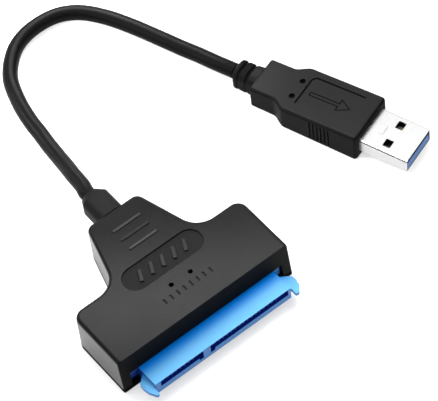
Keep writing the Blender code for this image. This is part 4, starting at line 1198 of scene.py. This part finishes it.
def make_floor():
    """White table that keeps a soft shadow and looks white to the camera and in reflections."""
    finish = Finish("white_table", Roughness=0.9, Specular_IOR_Level=0.0, Emission_Strength=1.0)
    path = finish.node("ShaderNodeLightPath")
    seen = Wire(finish, path.outputs["Is Camera Ray"]) + path.outputs["Is Glossy Ray"]
    seen = seen + path.outputs["Is Transmission Ray"]
    finish.colour(seen, grey(0.45), grey(0.56))
    finish.colour(seen, grey(0.0), grey(0.48), "Emission Color")
    mesh = box_mesh("studio_floor", (-FLOOR_HALF, -FLOOR_HALF, -FLOOR_THICK),
                    (FLOOR_HALF, FLOOR_HALF, 0.0))
    mesh.materials.append(LOOKS["white_table"])
    add_object("studio_floor", mesh)


def make_studio():
    """Soft white room with a key lamp, a front fill, and glows on the cable's bend and the roof."""
    scene = bpy.context.scene
    scene.view_settings.view_transform = "Standard"
    world = bpy.data.worlds.new("soft_room")
    scene.world = world
    world.use_nodes = True
    tree = world.node_tree
    where = tree.nodes.new("ShaderNodeTexCoord")
    backdrop = tree.nodes["Background"]
    backdrop.inputs["Color"].default_value = (1.0, 1.0, 1.0, 1.0)
    both = tree.nodes.new("ShaderNodeMath")
    both.operation = "MULTIPLY"
    ramps = (((0.0, 0.0, 1.0), 0.0, 0.5, 0.4, 1.0), (BRIGHT_WAY, 0.05, 0.85, 0.25, 1.6))
    for slot, (way, *limits) in enumerate(ramps):
        share = tree.nodes.new("ShaderNodeVectorMath")
        share.operation = "DOT_PRODUCT"
        share.inputs[1].default_value = way
        lift = tree.nodes.new("ShaderNodeMapRange")
        for label, value in zip(("From Min", "From Max", "To Min", "To Max"), limits):
            lift.inputs[label].default_value = value
        tree.links.new(where.outputs["Generated"], share.inputs[0])
        tree.links.new(share.outputs["Value"], lift.inputs["Value"])
        tree.links.new(lift.outputs["Result"], both.inputs[slot])
    tree.links.new(both.outputs[0], backdrop.inputs["Strength"])
    aim = (0.02, 0.02, 0.0)
    make_lamp("key_soft", (-0.25, 0.30, 0.75), aim, (0.4, 0.4), 1.2)
    make_lamp("front_fill", (0.10, -0.70, 0.30), aim, (0.7, 0.5), 2.8, mirrored=False)
    make_lamp("bend_left", (-0.033, 0.094, 0.040), (-0.006, 0.080, 0.002), (0.030, 0.024), 0.034,
              spread=100.0)
    make_lamp("bend_back", (0.058, 0.112, 0.052), (0.034, 0.084, 0.002), (0.055, 0.024), 0.066,
              spread=100.0)
    glow_aim = placed(0.001, -0.003, HOUSING_HEIGHT)
    glow_place = glow_aim + Vector((0.3134, 0.4954, 0.8101)) * 0.08
    make_lamp("roof_glow", glow_place, glow_aim, (0.125, 0.024), 0.178)
    make_floor()


def main():
    make_camera()
    cable_jacket()
    points, heading = cable_points()
    cord = make_cable(points)

    for make, table in ((moulded_plastic, PLASTICS), (socket_blue, BLUES), (plated_steel, STEELS)):
        for name, values in table.items():
            make(name, *values)
    plain_finish("shell_shade", (0.010, 0.010, 0.012), (0.02, 0.02, 0.022), 0.6)

    tree = row_tree()
    make_upper_housing(tree)
    make_base_cover()
    make_roof_marks(tree)
    make_drive_socket()
    make_boot()

    front = points[-1] + heading * (REAR_END + TAIL_LENGTH + GAP)
    to_world = Matrix.Translation((front.x, front.y, 0.0)) @ Matrix.Rotation(PLUG_HEADING, 4, "Z")
    grip = make_overmould(to_world)
    shell = make_plug_shell(to_world)
    insert = make_insert(to_world)
    dress_nodes()

    exit_point = placed(0.0, HOUSING_DEPTH + BOOT_LENGTH + GAP, BOOT_Z)
    length = sum((after - before).length for before, after in zip(points, points[1:]))
    make_studio()


main()
